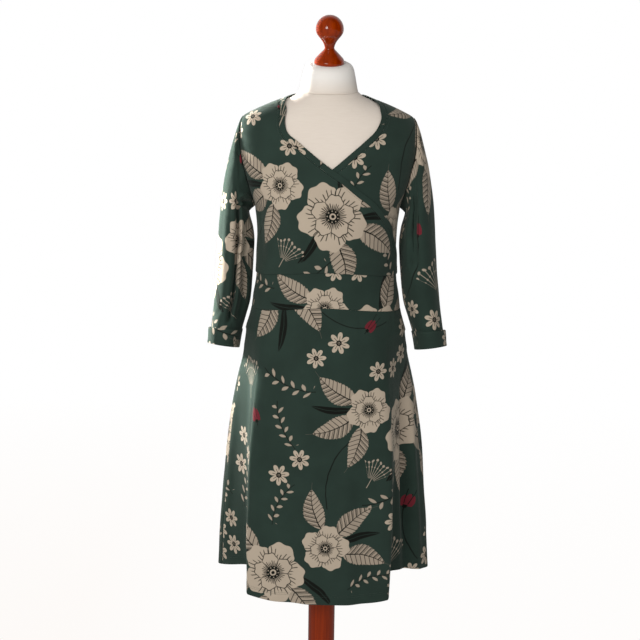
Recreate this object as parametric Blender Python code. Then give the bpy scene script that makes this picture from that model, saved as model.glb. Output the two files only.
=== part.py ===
"""Knee-length jersey dress with a wrap-look bodice, worn by a limbless dress form on a wooden stand.

Metres, +Z up, the front towards -Y. The origin is the middle of the base's underside, on the pole's axis.
A turn is an angle about that axis in degrees: 0 is centre front, 90 is towards +X (the wearer's left),
180 is centre back and -90 is towards -X.
"""

import math
from bisect import bisect_right
from collections import namedtuple

import bpy

# ---------------------------------------------------------------- driving dimensions

CLOTH = 0.0012  # wall of the jersey
SEAM_GAP = 0.0003  # between two pieces that are sewn together, or that lie on each other
LAYER = CLOTH + SEAM_GAP  # one cloth lying on another
WRAP_LIFT = 0.0052  # the over front above the under front: a layer, and the sag of both walls' flat facets
FORM_CLEARANCE = 0.0034  # from the form's cover to the cloth's rounded face, whose facets lie closer
HALF_GAP_TURN = 0.06  # degrees, half a seam's gap at the side seams and shoulder seams
BAND_WIDTH = 0.012  # the folded band around the neckline

MIDRIFF_TOP = 1.137  # height of the seam between bodice and midriff, at centre front
MIDRIFF_FOOT = 1.0655  # height of the seam between midriff and skirt, at centre front
SIDE_DROP = 0.016  # both of those seams are this much lower at the sides and the back
UNDERARM = 1.254  # height of the armhole's lowest point
SHOULDER_END = 1.429  # height where the shoulder seam meets the armhole

POLE_RADIUS = 0.0285
BASE_RADIUS = 0.170
BASE_BOSS_TOP = 0.062
TORSO_FOOT = 0.817
NECK_SEAM = 1.479  # height of the neck's seam at the sides
NECK_SEAM_SLOPE = 0.12  # how much the seam's plane rises for each metre towards the back
NECK_TOP = 1.532  # height of the neck's flat top at its middle
NECK_TOP_SLOPE = 0.28  # how much that top rises for each metre towards the back
FINIAL_HEIGHT = 0.0928

# ---------------------------------------------------------------- tables

Section = namedtuple("Section", "height half_width front back square")

# What the form and the dress share: the cloth lies on the form from here up to the neckline.
SHOULDERS = (
    Section(UNDERARM, 0.1435, 0.132, 0.103, 2.3),
    Section(1.2740, 0.1495, 0.128, 0.106, 2.4),
    Section(1.2940, 0.1580, 0.123, 0.109, 2.5),
    Section(1.3130, 0.1655, 0.118, 0.111, 2.6),
    Section(1.3420, 0.1720, 0.109, 0.112, 2.65),
    Section(1.3710, 0.1752, 0.101, 0.109, 2.6),
    Section(1.3990, 0.1757, 0.092, 0.104, 2.45),
    Section(1.4180, 0.1725, 0.085, 0.098, 2.3),
    Section(SHOULDER_END, 0.1665, 0.081, 0.094, 2.2),
    Section(1.4425, 0.1425, 0.075, 0.088, 2.1),
    Section(1.4545, 0.1160, 0.070, 0.082, 2.05),
    Section(1.4690, 0.0777, 0.062, 0.074, 2.0),
    Section(NECK_SEAM, 0.0612, 0.058, 0.067, 2.0),
)
DRESS = (
    Section(0.4340, 0.2385, 0.156, 0.168, 2.3),
    Section(0.5530, 0.2350, 0.149, 0.161, 2.3),
    Section(0.6620, 0.2270, 0.144, 0.153, 2.2),
    Section(0.7670, 0.2153, 0.138, 0.145, 2.2),
    Section(0.8540, 0.2015, 0.133, 0.136, 2.1),
    Section(0.9400, 0.1793, 0.128, 0.122, 2.1),
    Section(0.9900, 0.1670, 0.122, 0.108, 2.1),
    Section(1.0500, 0.1502, 0.116, 0.091, 2.2),
    Section(1.0760, 0.1468, 0.113, 0.087, 2.2),
    Section(1.1110, 0.1408, 0.116, 0.086, 2.2),
    Section(1.1560, 0.1383, 0.125, 0.090, 2.3),
    Section(1.2050, 0.1390, 0.133, 0.095, 2.3),
) + SHOULDERS
FORM = (
    Section(TORSO_FOOT, 0.1466, 0.102, 0.112, 2.2),
    Section(0.8800, 0.1530, 0.107, 0.118, 2.2),
    Section(0.9530, 0.1460, 0.105, 0.109, 2.2),
    Section(1.0250, 0.1240, 0.098, 0.086, 2.2),
    Section(1.0760, 0.1124, 0.094, 0.075, 2.2),
    Section(1.1260, 0.1169, 0.101, 0.078, 2.2),
    Section(1.1860, 0.1290, 0.115, 0.087, 2.3),
    Section(1.2250, 0.1374, 0.126, 0.095, 2.3),
) + SHOULDERS + (
    Section(1.4890, 0.0586, 0.056, 0.061, 2.0),
    Section(1.5030, 0.0559, 0.053, 0.056, 2.0),
    Section(1.5170, 0.0530, 0.050, 0.052, 2.0),
    Section(1.5240, 0.0508, 0.048, 0.049, 2.0),
    Section(1.5285, 0.0475, 0.045, 0.046, 2.0),
    Section(NECK_TOP, 0.0415, 0.040, 0.041, 2.0),
)

EdgePoint = namedtuple("EdgePoint", "height turn")

# The free edge of each front, from the side seam that it crosses to, up to its own shoulder seam.
OVER_EDGE = (
    EdgePoint(1.1420, 90.0),
    EdgePoint(1.1890, 68.7),
    EdgePoint(1.2240, 57.9),
    EdgePoint(1.2460, 49.1),
    EdgePoint(1.2735, 37.6),
    EdgePoint(1.2895, 29.1),
    EdgePoint(1.3170, 15.1),
    EdgePoint(1.3325, 3.7),
    EdgePoint(1.3605, -15.8),
    EdgePoint(1.3840, -31.6),
    EdgePoint(1.3985, -41.5),
    EdgePoint(1.4130, -45.9),
    EdgePoint(1.4425, -52.0),
    EdgePoint(1.4620, -68.0),
    EdgePoint(1.4690, -90.0),
)
UNDER_EDGE = (
    EdgePoint(1.1420, -90.0),
    EdgePoint(1.1995, -61.3),
    EdgePoint(1.2510, -42.8),
    EdgePoint(1.2870, -26.2),
    EdgePoint(1.3140, -9.5),
    EdgePoint(1.3325, 3.7),
    EdgePoint(1.3590, 20.6),
    EdgePoint(1.3880, 38.4),
    EdgePoint(1.4055, 47.9),
    EdgePoint(1.4250, 54.9),
    EdgePoint(1.4420, 60.5),
    EdgePoint(1.4615, 73.0),
    EdgePoint(1.4690, 90.0),
)
V_POINT = OVER_EDGE[7]

NeckPoint = namedtuple("NeckPoint", "turn height")
BACK_NECK = (
    NeckPoint(90.0, 1.4690),
    NeckPoint(110.0, 1.4730),
    NeckPoint(140.0, 1.4720),
    NeckPoint(180.0, 1.4675),
)

# The armhole on the front, from the underarm up. The back's is its mirror image.
ARMHOLE = (
    EdgePoint(UNDERARM, 90.0),
    EdgePoint(1.2760, 79.0),
    EdgePoint(1.2980, 73.5),
    EdgePoint(1.3190, 72.0),
    EdgePoint(1.3460, 75.5),
    EdgePoint(1.3740, 78.7),
    EdgePoint(1.4020, 80.5),
    EdgePoint(1.4160, 83.5),
    EdgePoint(SHOULDER_END, 90.0),
)

Fold = namedtuple("Fold", "start turn_at_start turn_at_hem depth_at_hem growth before after softness")

# Folds of the skirt: a positive depth is a trough. before and after are how many degrees it reaches on
# the side of the smaller turn and on the side of the larger turn. A softness below 1 gives it crisp edges.
SKIRT_FOLDS = (
    Fold(1.005, 74.0, 65.0, 0.072, 0.62, 21.0, 29.0, 0.62),
    Fold(1.005, -77.0, -70.0, 0.068, 0.62, 27.0, 20.5, 0.62),
    Fold(0.960, 96.0, 97.0, 0.014, 0.50, 8.0, 9.0, 1.0),
    Fold(0.960, -98.0, -99.0, 0.012, 0.50, 9.0, 8.0, 1.0),
    Fold(0.900, 24.0, 31.0, 0.006, 0.80, 13.0, 16.0, 1.0),
    Fold(0.800, -18.0, -24.0, 0.005, 0.80, 12.0, 14.0, 1.0),
    Fold(0.940, 138.0, 132.0, 0.034, 0.70, 15.0, 17.0, 1.0),
    Fold(0.900, 166.0, 163.0, 0.020, 0.80, 12.0, 13.0, 1.0),
    Fold(0.880, -168.0, -172.0, 0.017, 0.80, 12.0, 15.0, 1.0),
    Fold(0.940, -141.0, -136.0, 0.036, 0.70, 17.0, 15.0, 1.0),
)

HemPoint = namedtuple("HemPoint", "turn height")
HEM = (
    HemPoint(-180.0, 0.474),
    HemPoint(-100.0, 0.475),
    HemPoint(-68.0, 0.506),
    HemPoint(-52.0, 0.475),
    HemPoint(-30.0, 0.468),
    HemPoint(0.0, 0.466),
    HemPoint(32.0, 0.465),
    HemPoint(46.0, 0.470),
    HemPoint(64.0, 0.500),
    HemPoint(100.0, 0.477),
    HemPoint(180.0, 0.474),
)

Ring = namedtuple("Ring", "share outer_x outer_z inner_x inner_z half_depth")

# The sleeve's sections, each a ring through an outermost and an innermost point.
SLEEVE = (
    Ring(0.00, 0.1695, 1.429, 0.1458, 1.254, 0.045),
    Ring(0.08, 0.1815, 1.399, 0.1538, 1.247, 0.054),
    Ring(0.16, 0.1908, 1.367, 0.1584, 1.240, 0.059),
    Ring(0.25, 0.2003, 1.328, 0.1560, 1.229, 0.061),
    Ring(0.35, 0.2090, 1.279, 0.1497, 1.208, 0.061),
    Ring(0.45, 0.2149, 1.227, 0.1472, 1.182, 0.060),
    Ring(0.55, 0.2189, 1.174, 0.1490, 1.149, 0.059),
    Ring(0.65, 0.2229, 1.121, 0.1520, 1.109, 0.058),
    Ring(0.75, 0.2274, 1.072, 0.1565, 1.068, 0.058),
    Ring(0.85, 0.2329, 1.026, 0.1685, 1.025, 0.057),
    Ring(0.92, 0.2375, 0.996, 0.1775, 0.994, 0.056),
    Ring(1.00, 0.2436, 0.970, 0.1830, 0.961, 0.056),
)
SLEEVE_SLANT = 0.20  # how much the sleeve's end rises for each metre towards the front
SLEEVE_SWAY = 0.0035  # both sleeves' ends hang this much nearer to the wearer's left
SLEEVE_TURN_UP_SHARE = 0.905  # the cuff lies over the sleeve from here to its end

SleeveFold = namedtuple("SleeveFold", "angle spread depth start end")

# Angles run about the sleeve: 0 is its outermost line, 90 is its front and 180 is its inner line.
RIGHT_SLEEVE_FOLDS = (
    SleeveFold(99.0, 18.0, 0.024, 0.18, 0.905),
    SleeveFold(135.0, 36.0, 0.011, 0.22, 0.90),
    SleeveFold(261.0, 18.0, 0.010, 0.30, 0.90),
)
LEFT_SLEEVE_FOLDS = (
    SleeveFold(117.0, 18.0, 0.013, 0.10, 0.64),
    SleeveFold(279.0, 18.0, 0.011, 0.25, 0.90),
)

ProfilePoint = namedtuple("ProfilePoint", "radius height")

FINIAL_PROFILE = (
    ProfilePoint(0.0284, 0.0000),
    ProfilePoint(0.0293, 0.0010),
    ProfilePoint(0.0293, 0.0045),
    ProfilePoint(0.0280, 0.0080),
    ProfilePoint(0.0248, 0.0120),
    ProfilePoint(0.0207, 0.0165),
    ProfilePoint(0.0150, 0.0225),
    ProfilePoint(0.0107, 0.0270),
    ProfilePoint(0.0094, 0.0300),
    ProfilePoint(0.0100, 0.0335),
    ProfilePoint(0.0127, 0.0405),
    ProfilePoint(0.0175, 0.0475),
    ProfilePoint(0.0228, 0.0540),
    ProfilePoint(0.0260, 0.0595),
)
FINIAL_BALL_RADIUS = 0.0271

BASE_PROFILE = (
    ProfilePoint(BASE_RADIUS - 0.004, 0.0000),
    ProfilePoint(BASE_RADIUS, 0.0040),
    ProfilePoint(BASE_RADIUS, 0.0160),
    ProfilePoint(BASE_RADIUS - 0.005, 0.0215),
    ProfilePoint(BASE_RADIUS - 0.014, 0.0240),
    ProfilePoint(0.0900, 0.0300),
    ProfilePoint(0.0520, 0.0380),
    ProfilePoint(0.0440, 0.0460),
    ProfilePoint(0.0440, 0.0560),
    ProfilePoint(0.0400, BASE_BOSS_TOP),
)

# ---------------------------------------------------------------- numbers of facets

COLUMNS_FRONT = 16  # across a front bodice
COLUMNS_BACK = 18
ROWS_SIDE = 5  # up the side seam of the bodice
ROWS_ARMHOLE = 10  # up one half of an armhole
COLUMNS_SKIRT = 20  # across each half of the skirt and of the midriff
ROWS_SKIRT = 9
SLEEVE_SHARES = (0.0, 0.05, 0.11, 0.18, 0.27, 0.37, 0.48, 0.60, 0.72, 0.84)
TURNED_STEPS = 32


# ---------------------------------------------------------------- reading the tables


def smooth(xs, ys, x):
    """A curve through the points that never overshoots them, read at x."""
    x = min(max(x, xs[0]), xs[-1])
    last = len(xs) - 1
    slopes = [(ys[k + 1] - ys[k]) / (xs[k + 1] - xs[k]) for k in range(last)]

    def lean(k):
        if k in (0, last):
            return slopes[min(k, last - 1)]
        below, above = slopes[k - 1], slopes[k]
        return 0.0 if below * above <= 0 else 2 * below * above / (below + above)

    k = min(bisect_right(xs, x) - 1, last - 1)
    width = xs[k + 1] - xs[k]
    t = (x - xs[k]) / width
    rest = 1 - t
    return (
        ys[k] * (1 + 2 * t) * rest * rest
        + ys[k + 1] * (1 + 2 * rest) * t * t
        + (lean(k) * rest - lean(k + 1) * t) * width * t * rest
    )


def column(table, key, name, at):
    """One named column of a table, read where its key column has the value at."""
    return smooth([getattr(row, key) for row in table], [getattr(row, name) for row in table], at)


def ease(t):
    """0 below 0, 1 above 1 and a smooth rise between."""
    t = min(max(t, 0.0), 1.0)
    return t * t * (3 - 2 * t)


def mix(a, b, share):
    return a + (b - a) * share


def signed(turn):
    """The same turn between -180 and 180."""
    return (turn + 180.0) % 360.0 - 180.0


# ---------------------------------------------------------------- the figure and the cloth on it


def reach(table, turn, height):
    """Distance from the axis to the section's outline."""
    angle = math.radians(turn)
    across = abs(math.sin(angle))
    ahead = math.cos(angle)
    depth = column(table, "height", "front" if ahead > 0 else "back", height)
    half_width = column(table, "height", "half_width", height)
    square = column(table, "height", "square", height)
    return ((across / half_width) ** square + (abs(ahead) / depth) ** square) ** (-1 / square)


def skirt_fold(turn, height):
    """How far the skirt's folds draw the cloth in."""
    depth = 0.0
    for fold in SKIRT_FOLDS:
        grown = max(0.0, fold.start - height) / (fold.start - DRESS[0].height)
        away = signed(turn - mix(fold.turn_at_start, fold.turn_at_hem, grown))
        away /= fold.before if away < 0 else fold.after
        if abs(away) < 1:
            across = 0.5 * (1 + math.cos(math.pi * away))
            depth += fold.depth_at_hem * grown**fold.growth * across**fold.softness
    return depth


def dress_point(turn, height):
    """The inner face of the dress's lowest layer."""
    radius = reach(DRESS, turn, height) - skirt_fold(turn, height)
    angle = math.radians(turn)
    return (radius * math.sin(angle), -radius * math.cos(angle), height)


def minus(a, b):
    return tuple(p - q for p, q in zip(a, b))


def along(point, direction, distance):
    return tuple(p + distance * d for p, d in zip(point, direction))


def cross(a, b):
    return (a[1] * b[2] - a[2] * b[1], a[2] * b[0] - a[0] * b[2], a[0] * b[1] - a[1] * b[0])


def length(a):
    return math.sqrt(sum(p * p for p in a))


def unit(a):
    size = length(a)
    return tuple(p / size for p in a)


def facing(surface, turn, height):
    """The outward direction of a surface given by turn and height."""
    step_turn, step_height = 0.5, 0.0005
    around = minus(surface(turn + step_turn, height), surface(turn - step_turn, height))
    up = minus(surface(turn, height + step_height), surface(turn, height - step_height))
    return unit(cross(around, up))


def over_lift(turn, height):
    """How far the over front stands off, so that it passes over the under front."""
    fade = 0.045
    hidden = [row for row in UNDER_EDGE if row.height <= V_POINT.height]
    if turn < V_POINT.turn:
        edge = column(hidden, "turn", "height", turn)
    else:
        edge = V_POINT.height
    return WRAP_LIFT * ease((edge + fade - height) / fade)


def no_lift(turn, height):
    return 0.0


def seam_height(base, turn):
    """Height of a midriff seam, which drops from centre front to the sides."""
    return base - SIDE_DROP * ease(abs(signed(turn)) / 90.0)


# ---------------------------------------------------------------- edges


def edge_points(table, count):
    """Points evenly spaced along an edge, as (turn, height), from its table's first row to its last."""
    fine = 400
    low, high = table[0].height, table[-1].height
    run = []
    for k in range(fine + 1):
        height = mix(low, high, k / fine)
        turn = column(table, "height", "turn", height)
        run.append((turn, height))
    return evenly(run, count)


def evenly(run, count):
    """The run of (turn, height) points, resampled at even distances over the cloth."""
    spots = [dress_point(*point) for point in run]
    travelled = [0.0]
    for before, after in zip(spots, spots[1:]):
        travelled.append(travelled[-1] + length(minus(after, before)))
    picked = []
    for k in range(count):
        at = travelled[-1] * k / (count - 1)
        i = min(bisect_right(travelled, at), len(run) - 1)
        share = (at - travelled[i - 1]) / (travelled[i] - travelled[i - 1])
        picked.append(tuple(mix(a, b, share) for a, b in zip(run[i - 1], run[i])))
    return picked


def beside(run, distance, side):
    """The run moved sideways over the cloth: side is 1 to the right of its direction and -1 to the left.

    Its two ends slide along the seams that they lie on, so that the strip between is cut on the seams.
    """
    moved = []
    for k, (turn, height) in enumerate(run):
        here = dress_point(turn, height)
        before = dress_point(*run[max(k - 1, 0)])
        after = dress_point(*run[min(k + 1, len(run) - 1)])
        heading = unit(minus(after, before))
        sideways = unit(cross(heading, facing(dress_point, turn, height)))
        if k in (0, len(run) - 1):
            moved.append(along_seam(turn, height, heading, sideways, distance * side))
        else:
            spot = along(here, sideways, distance * side)
            moved.append((math.degrees(math.atan2(spot[0], -spot[1])) % 360.0, spot[2]))
    return [(near_turn(a, b), height) for (a, height), (b, _) in zip(moved, run)]


def near_turn(turn, other):
    """The same turn, counted so that it lies within half a circle of the other."""
    return other + signed(turn - other)


def along_seam(turn, height, heading, sideways, distance):
    """The point of the seam through (turn, height) that lies this far to the side of the heading."""
    here = dress_point(turn, height)
    low, high = height - 0.05, height
    for _ in range(40):
        middle = (low + high) / 2
        off = sum(p * q for p, q in zip(minus(dress_point(turn, middle), here), sideways))
        if abs(off) > abs(distance):
            low = middle
        else:
            high = middle
    return (turn, (low + high) / 2)


def within_seams(run, low, high):
    """The run kept just inside the seams at two turns."""
    return [(min(max(turn, low + HALF_GAP_TURN), high - HALF_GAP_TURN), height) for turn, height in run]


# ---------------------------------------------------------------- meshes


def material(name, colour, roughness):
    made = bpy.data.materials.new(name)
    made.use_nodes = True
    shader = made.node_tree.nodes["Principled BSDF"]
    shader.inputs["Base Color"].default_value = (*colour, 1.0)
    shader.inputs["Roughness"].default_value = roughness
    made.diffuse_color = (*colour, 1.0)
    return made


def solid(name, points, faces, colour, roughness):
    """One object from its points and faces, with a material of its own and its round faces smooth."""
    mesh = bpy.data.meshes.new(name)
    mesh.from_pydata(points, [], faces)
    mesh.shade_smooth()
    mesh.set_sharp_from_angle(angle=math.radians(40))
    mesh.materials.append(material(name, colour, roughness))
    made = bpy.data.objects.new(name, mesh)
    bpy.context.scene.collection.objects.link(made)
    return made


def wall(name, outer, inner, joined, colour, roughness):
    """A closed wall between two grids of points, each a list of rows. joined closes the rows into rings.

    Seen from outside, a row runs to the right and the rows follow each other upwards. Each square of a
    face is two triangles that are split the same way outside and inside, so that the wall keeps its width.
    """
    rows, columns = len(outer), len(outer[0])
    points = [point for row in outer for point in row] + [point for row in inner for point in row]
    faces = []

    def index(face, row, spot):
        return face * rows * columns + row * columns + spot % columns

    for row in range(rows - 1):
        for spot in range(columns if joined else columns - 1):
            corners = ((row, spot), (row, spot + 1), (row + 1, spot + 1), (row + 1, spot))
            for half in ((0, 1, 2), (0, 2, 3)):
                faces.append(tuple(index(0, *corners[k]) for k in half))
                faces.append(tuple(index(1, *corners[k]) for k in reversed(half)))

    def rim(first, second):
        faces.append((index(0, *first), index(0, *second), index(1, *second), index(1, *first)))

    top, end = rows - 1, columns - 1
    for spot in range(columns if joined else end):
        rim((0, spot + 1), (0, spot))
        rim((top, spot), (top, spot + 1))
    if not joined:
        for row in range(top):
            rim((row, 0), (row + 1, 0))
            rim((row + 1, end), (row, end))
    return solid(name, points, faces, colour, roughness)


GREEN = (0.030, 0.055, 0.043)
COVER = (0.760, 0.690, 0.610)
MAHOGANY = (0.130, 0.022, 0.010)


def panel(name, grid, lift=no_lift):
    """A panel of the dress from its grid of (turn, height), standing off by lift."""
    outer, inner = [], []
    for row in grid:
        outer.append([])
        inner.append([])
        for turn, height in row:
            here = dress_point(turn, height)
            out = facing(dress_point, turn, height)
            inner[-1].append(along(here, out, lift(turn, height)))
            outer[-1].append(along(here, out, lift(turn, height) + CLOTH))
    return wall(name, outer, inner, False, GREEN, 0.85)


def ruled(left, right, count):
    """Rows of (turn, height) points from the left boundary to the right one."""
    return [
        [tuple(mix(a, b, k / count) for a, b in zip(start, end)) for k in range(count + 1)]
        for start, end in zip(left, right)
    ]


# ---------------------------------------------------------------- the bodice


def armhole_heights():
    """Heights of the armhole's points, close together at its top and bottom, from the underarm up."""
    middle, half = (UNDERARM + SHOULDER_END) / 2, (SHOULDER_END - UNDERARM) / 2
    return [middle - half * math.cos(math.pi * k / ROWS_ARMHOLE) for k in range(ROWS_ARMHOLE + 1)]


def outer_boundary():
    """The side seam and the armhole of a front, as (turn, height) on the +X side, from the midriff up."""
    foot = seam_height(MIDRIFF_TOP, 90.0) + SEAM_GAP
    run = [(90.0, mix(foot, UNDERARM, k / ROWS_SIDE)) for k in range(ROWS_SIDE)]
    run += [(column(ARMHOLE, "height", "turn", height), height) for height in armhole_heights()]
    return run


def mirrored(run):
    return [(-turn, height) for turn, height in run]


def front(name, band_name, edge, lift, own_side):
    """A front that wraps across the figure, and the band along its edge.

    own_side is 1 where its armhole is towards +X and -1 where it is towards -X.
    """
    rows = ROWS_SIDE + ROWS_ARMHOLE + 1
    below = 2  # rows between the midriff and the edge's lower end
    low, high = (-90.0, 90.0)
    free = edge_points(edge, rows - below)
    seam = beside(free, BAND_WIDTH, own_side)
    band_seam = beside(free, BAND_WIDTH - SEAM_GAP, own_side)
    foot = seam_height(MIDRIFF_TOP, 90.0) + SEAM_GAP
    crossing = seam[0]
    far = [(crossing[0], mix(foot, crossing[1], k / below)) for k in range(below)] + seam
    own = outer_boundary() if own_side > 0 else mirrored(outer_boundary())
    left, right = (far, own) if own_side > 0 else (own, far)
    grid = ruled(within_seams(left, low, high), within_seams(right, low, high), COLUMNS_FRONT)
    rise_with_seam(grid, own_side)
    panel(name, grid, lift)
    strip = (free, band_seam) if own_side > 0 else (band_seam, free)
    panel(band_name, ruled(*(within_seams(run, low, high) for run in strip), 2), lift)


def rise_with_seam(grid, own_side):
    """Lets the lowest rows follow the midriff's seam, which is higher at centre front.

    Only the lowest row moves next to the neckband, so that the band's seam stays where it is.
    """
    reach_up = 4
    for row in range(reach_up):
        share = 1 - row / reach_up
        for k, (turn, height) in enumerate(grid[row]):
            from_band = k / COLUMNS_FRONT if own_side > 0 else 1 - k / COLUMNS_FRONT
            held = 1.0 if row == 0 else min(4 * from_band, 1.0)
            rise = seam_height(MIDRIFF_TOP, turn) - seam_height(MIDRIFF_TOP, 90.0)
            grid[row][k] = (turn, height + rise * share * held)


def back():
    """The back bodice and its neckband."""
    free = []
    for k in range(COLUMNS_BACK + 1):
        turn = mix(90.0, 270.0, k / COLUMNS_BACK)
        mirror = min(turn, 360.0 - turn)
        free.append((turn, column(BACK_NECK, "turn", "height", mirror)))
    seam = beside(free, BAND_WIDTH, 1)
    band_seam = beside(free, BAND_WIDTH - SEAM_GAP, 1)
    panel("neckband_back", [within_seams(run, 90.0, 270.0) for run in (band_seam, free)])

    shoulder_rows = 4
    sides = [(180.0 - turn, height) for turn, height in outer_boundary()]
    top = seam[0][1]
    sides += [(90.0, mix(SHOULDER_END, top, k / shoulder_rows)) for k in range(1, shoulder_rows + 1)]
    left = within_seams(sides, 90.0, 270.0)
    right = [(360.0 - turn, height) for turn, height in left]
    grid = ruled(left, right, COLUMNS_BACK)
    for row in range(1, shoulder_rows + 1):
        share = row / shoulder_rows
        line = grid[len(grid) - 1 - shoulder_rows + row]
        for k, (turn, height) in enumerate(line):
            line[k] = (mix(turn, seam[k][0], share), height + (seam[k][1] - top) * share)
    grid[-1] = within_seams(grid[-1], 90.0, 270.0)
    panel("bodice_back", grid)


# ---------------------------------------------------------------- midriff and skirt


def turns_between(low, high, count, crowded):
    """Turns from low to high, with more of them around the crowded ones."""
    even = [mix(low, high, k / count) for k in range(count + 1)]
    extra = [turn for turn in crowded if low < turn < high]
    step = (high - low) / count
    kept = [turn for turn in even[1:-1] if all(abs(turn - other) > 0.4 * step for other in extra)]
    inside = sorted(kept + extra)
    return [low + HALF_GAP_TURN] + inside + [high - HALF_GAP_TURN]


def midriff(name, low, high, crowded):
    turns = turns_between(low, high, COLUMNS_SKIRT, crowded)
    grid = []
    for share in (0.0, 0.5, 1.0):
        row = []
        for turn in turns:
            foot = seam_height(MIDRIFF_FOOT, turn) + SEAM_GAP
            row.append((turn, mix(foot, seam_height(MIDRIFF_TOP, turn), share)))
        grid.append(row)
    panel(name, grid)


def skirt(name, low, high, crowded):
    turns = turns_between(low, high, COLUMNS_SKIRT, crowded)
    grid = []
    for k in range(ROWS_SKIRT + 1):
        row = []
        for turn in turns:
            hem = column(HEM, "turn", "height", signed(turn))
            row.append((turn, mix(hem, seam_height(MIDRIFF_FOOT, turn), k / ROWS_SKIRT)))
        grid.append(row)
    panel(name, grid)


# ---------------------------------------------------------------- sleeves


def armhole_point(angle, side):
    """Where the sleeve starts, at an angle about it, just clear of the bodice's edge and outer face."""
    middle, half = (UNDERARM + SHOULDER_END) / 2, (SHOULDER_END - UNDERARM) / 2
    height = middle + half * math.cos(math.radians(angle))
    turn = column(ARMHOLE, "height", "turn", height)
    if angle % 360.0 > 180.0:
        turn = 180.0 - turn
    here = dress_point(turn * side, height)
    here = along(here, facing(dress_point, turn * side, height), LAYER)
    return (here[0] + 0.0005 * side, here[1], here[2])


def sleeve_fold(folds, angle, share):
    depth = 0.0
    for fold in folds:
        away = signed(angle - fold.angle) / fold.spread
        if abs(away) < 1:
            length_share = (share - fold.start) / (fold.end - fold.start)
            if 0 < length_share < 1:
                swell = ease(length_share / 0.3) * ease((1 - length_share) / 0.12)
                depth += fold.depth * swell * 0.5 * (1 + math.cos(math.pi * away))
    return depth


def sleeve_point(side, folds, angle, share):
    """The inner face of a sleeve at an angle about it and a share of its length."""
    outer = [column(SLEEVE, "share", name, share) for name in ("outer_x", "outer_z")]
    inner = [column(SLEEVE, "share", name, share) for name in ("inner_x", "inner_z")]
    half_depth = column(SLEEVE, "share", "half_depth", share)
    centre = [(a + b) / 2 for a, b in zip(outer, inner)]
    half = [(a - b) / 2 for a, b in zip(outer, inner)]
    turn = math.radians(angle)
    drawn_in = sleeve_fold(folds, angle, share)
    size = 1 - drawn_in / math.hypot(math.hypot(*half) * math.cos(turn), half_depth * math.sin(turn))
    x = centre[0] + half[0] * math.cos(turn) * size
    y = -half_depth * math.sin(turn) * size
    z = centre[1] + half[1] * math.cos(turn) * size - y * SLEEVE_SLANT * ease(share)
    fade = 1 - ease(share / 0.16)
    start = armhole_point(angle, side)
    loop = sleeve_loop(angle)
    return (
        x * side + SLEEVE_SWAY * ease((share - 0.5) / 0.5) + (start[0] - loop[0] * side) * fade,
        y + (start[1] - loop[1]) * fade,
        z + (start[2] - loop[2]) * fade,
    )


def sleeve_loop(angle):
    """The table's first ring, which the armhole's true line replaces."""
    ring = SLEEVE[0]
    turn = math.radians(angle)
    return (
        mix(ring.inner_x, ring.outer_x, (1 + math.cos(turn)) / 2),
        -ring.half_depth * math.sin(turn),
        mix(ring.inner_z, ring.outer_z, (1 + math.cos(turn)) / 2),
    )


def sleeve_out(side, folds, angle, share):
    """The outward direction of a sleeve."""
    step_angle, step_share = 1.0, 0.004
    before, after = max(share - step_share, 0.0), min(share + step_share, 1.0)
    around = minus(
        sleeve_point(side, folds, angle + step_angle, share),
        sleeve_point(side, folds, angle - step_angle, share),
    )
    down = minus(sleeve_point(side, folds, angle, after), sleeve_point(side, folds, angle, before))
    out = unit(cross(around, down))
    return tuple(p * side for p in out)


def tube(name, side, folds, shares, lift):
    """A ring-shaped wall on the sleeve, from the share nearest the cuff up to the first one."""
    angles = [360.0 * k / (2 * ROWS_ARMHOLE) for k in range(2 * ROWS_ARMHOLE)]
    extra = [fold.angle + step for fold in folds for step in (-fold.spread / 2, 0, fold.spread / 2)]
    kept = [angle for angle in angles if all(abs(signed(angle - other)) > 5 for other in extra)]
    angles = sorted(kept + [angle % 360.0 for angle in extra])
    if side > 0:
        angles.reverse()
    outer, inner = [], []
    for share in sorted(shares, reverse=True):
        outer.append([])
        inner.append([])
        for angle in angles:
            here = sleeve_point(side, folds, angle, share)
            out = sleeve_out(side, folds, angle, share)
            inner[-1].append(along(here, out, lift))
            outer[-1].append(along(here, out, lift + CLOTH))
    return wall(name, outer, inner, True, GREEN, 0.85)


# ---------------------------------------------------------------- the stand


def form_point(turn, height, slope):
    """The form's surface where it meets a plane that rises by slope towards the back."""
    angle = math.radians(turn)
    y = 0.0
    for _ in range(12):
        radius = reach(FORM, turn, height + slope * y)
        y = -radius * math.cos(angle)
    return (radius * math.sin(angle), y, height + slope * y)


def form_normal(turn, height, slope):
    return facing(lambda a, b: form_point(a, b, slope), turn, height)


def stack(name, rings, colour, roughness):
    """A closed solid through rings of points, the lowest first, each running anticlockwise from above."""
    count = len(rings[0])
    points = [point for ring in rings for point in ring]
    faces = [tuple(reversed(range(count)))]
    for row in range(len(rings) - 1):
        low = row * count
        for spot in range(count):
            beside_it = (spot + 1) % count
            faces.append((low + spot, low + beside_it, low + count + beside_it, low + count + spot))
    faces.append(tuple(range(len(points) - count, len(points))))
    return solid(name, points, faces, colour, roughness)


def form_ring(height, slope, inset, level):
    """A ring of the form, set in from the cloth: along the surface's facing, or kept in its plane."""
    ring = []
    for k in range(TURNED_STEPS):
        turn = 360.0 * k / TURNED_STEPS
        here = form_point(turn, height, slope)
        if level:
            share = 1 - inset / math.hypot(here[0], here[1])
            x, y = here[0] * share, here[1] * share
            ring.append((x, y, height + slope * y))
        else:
            ring.append(along(here, form_normal(turn, height, slope), -inset))
    return ring


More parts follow.
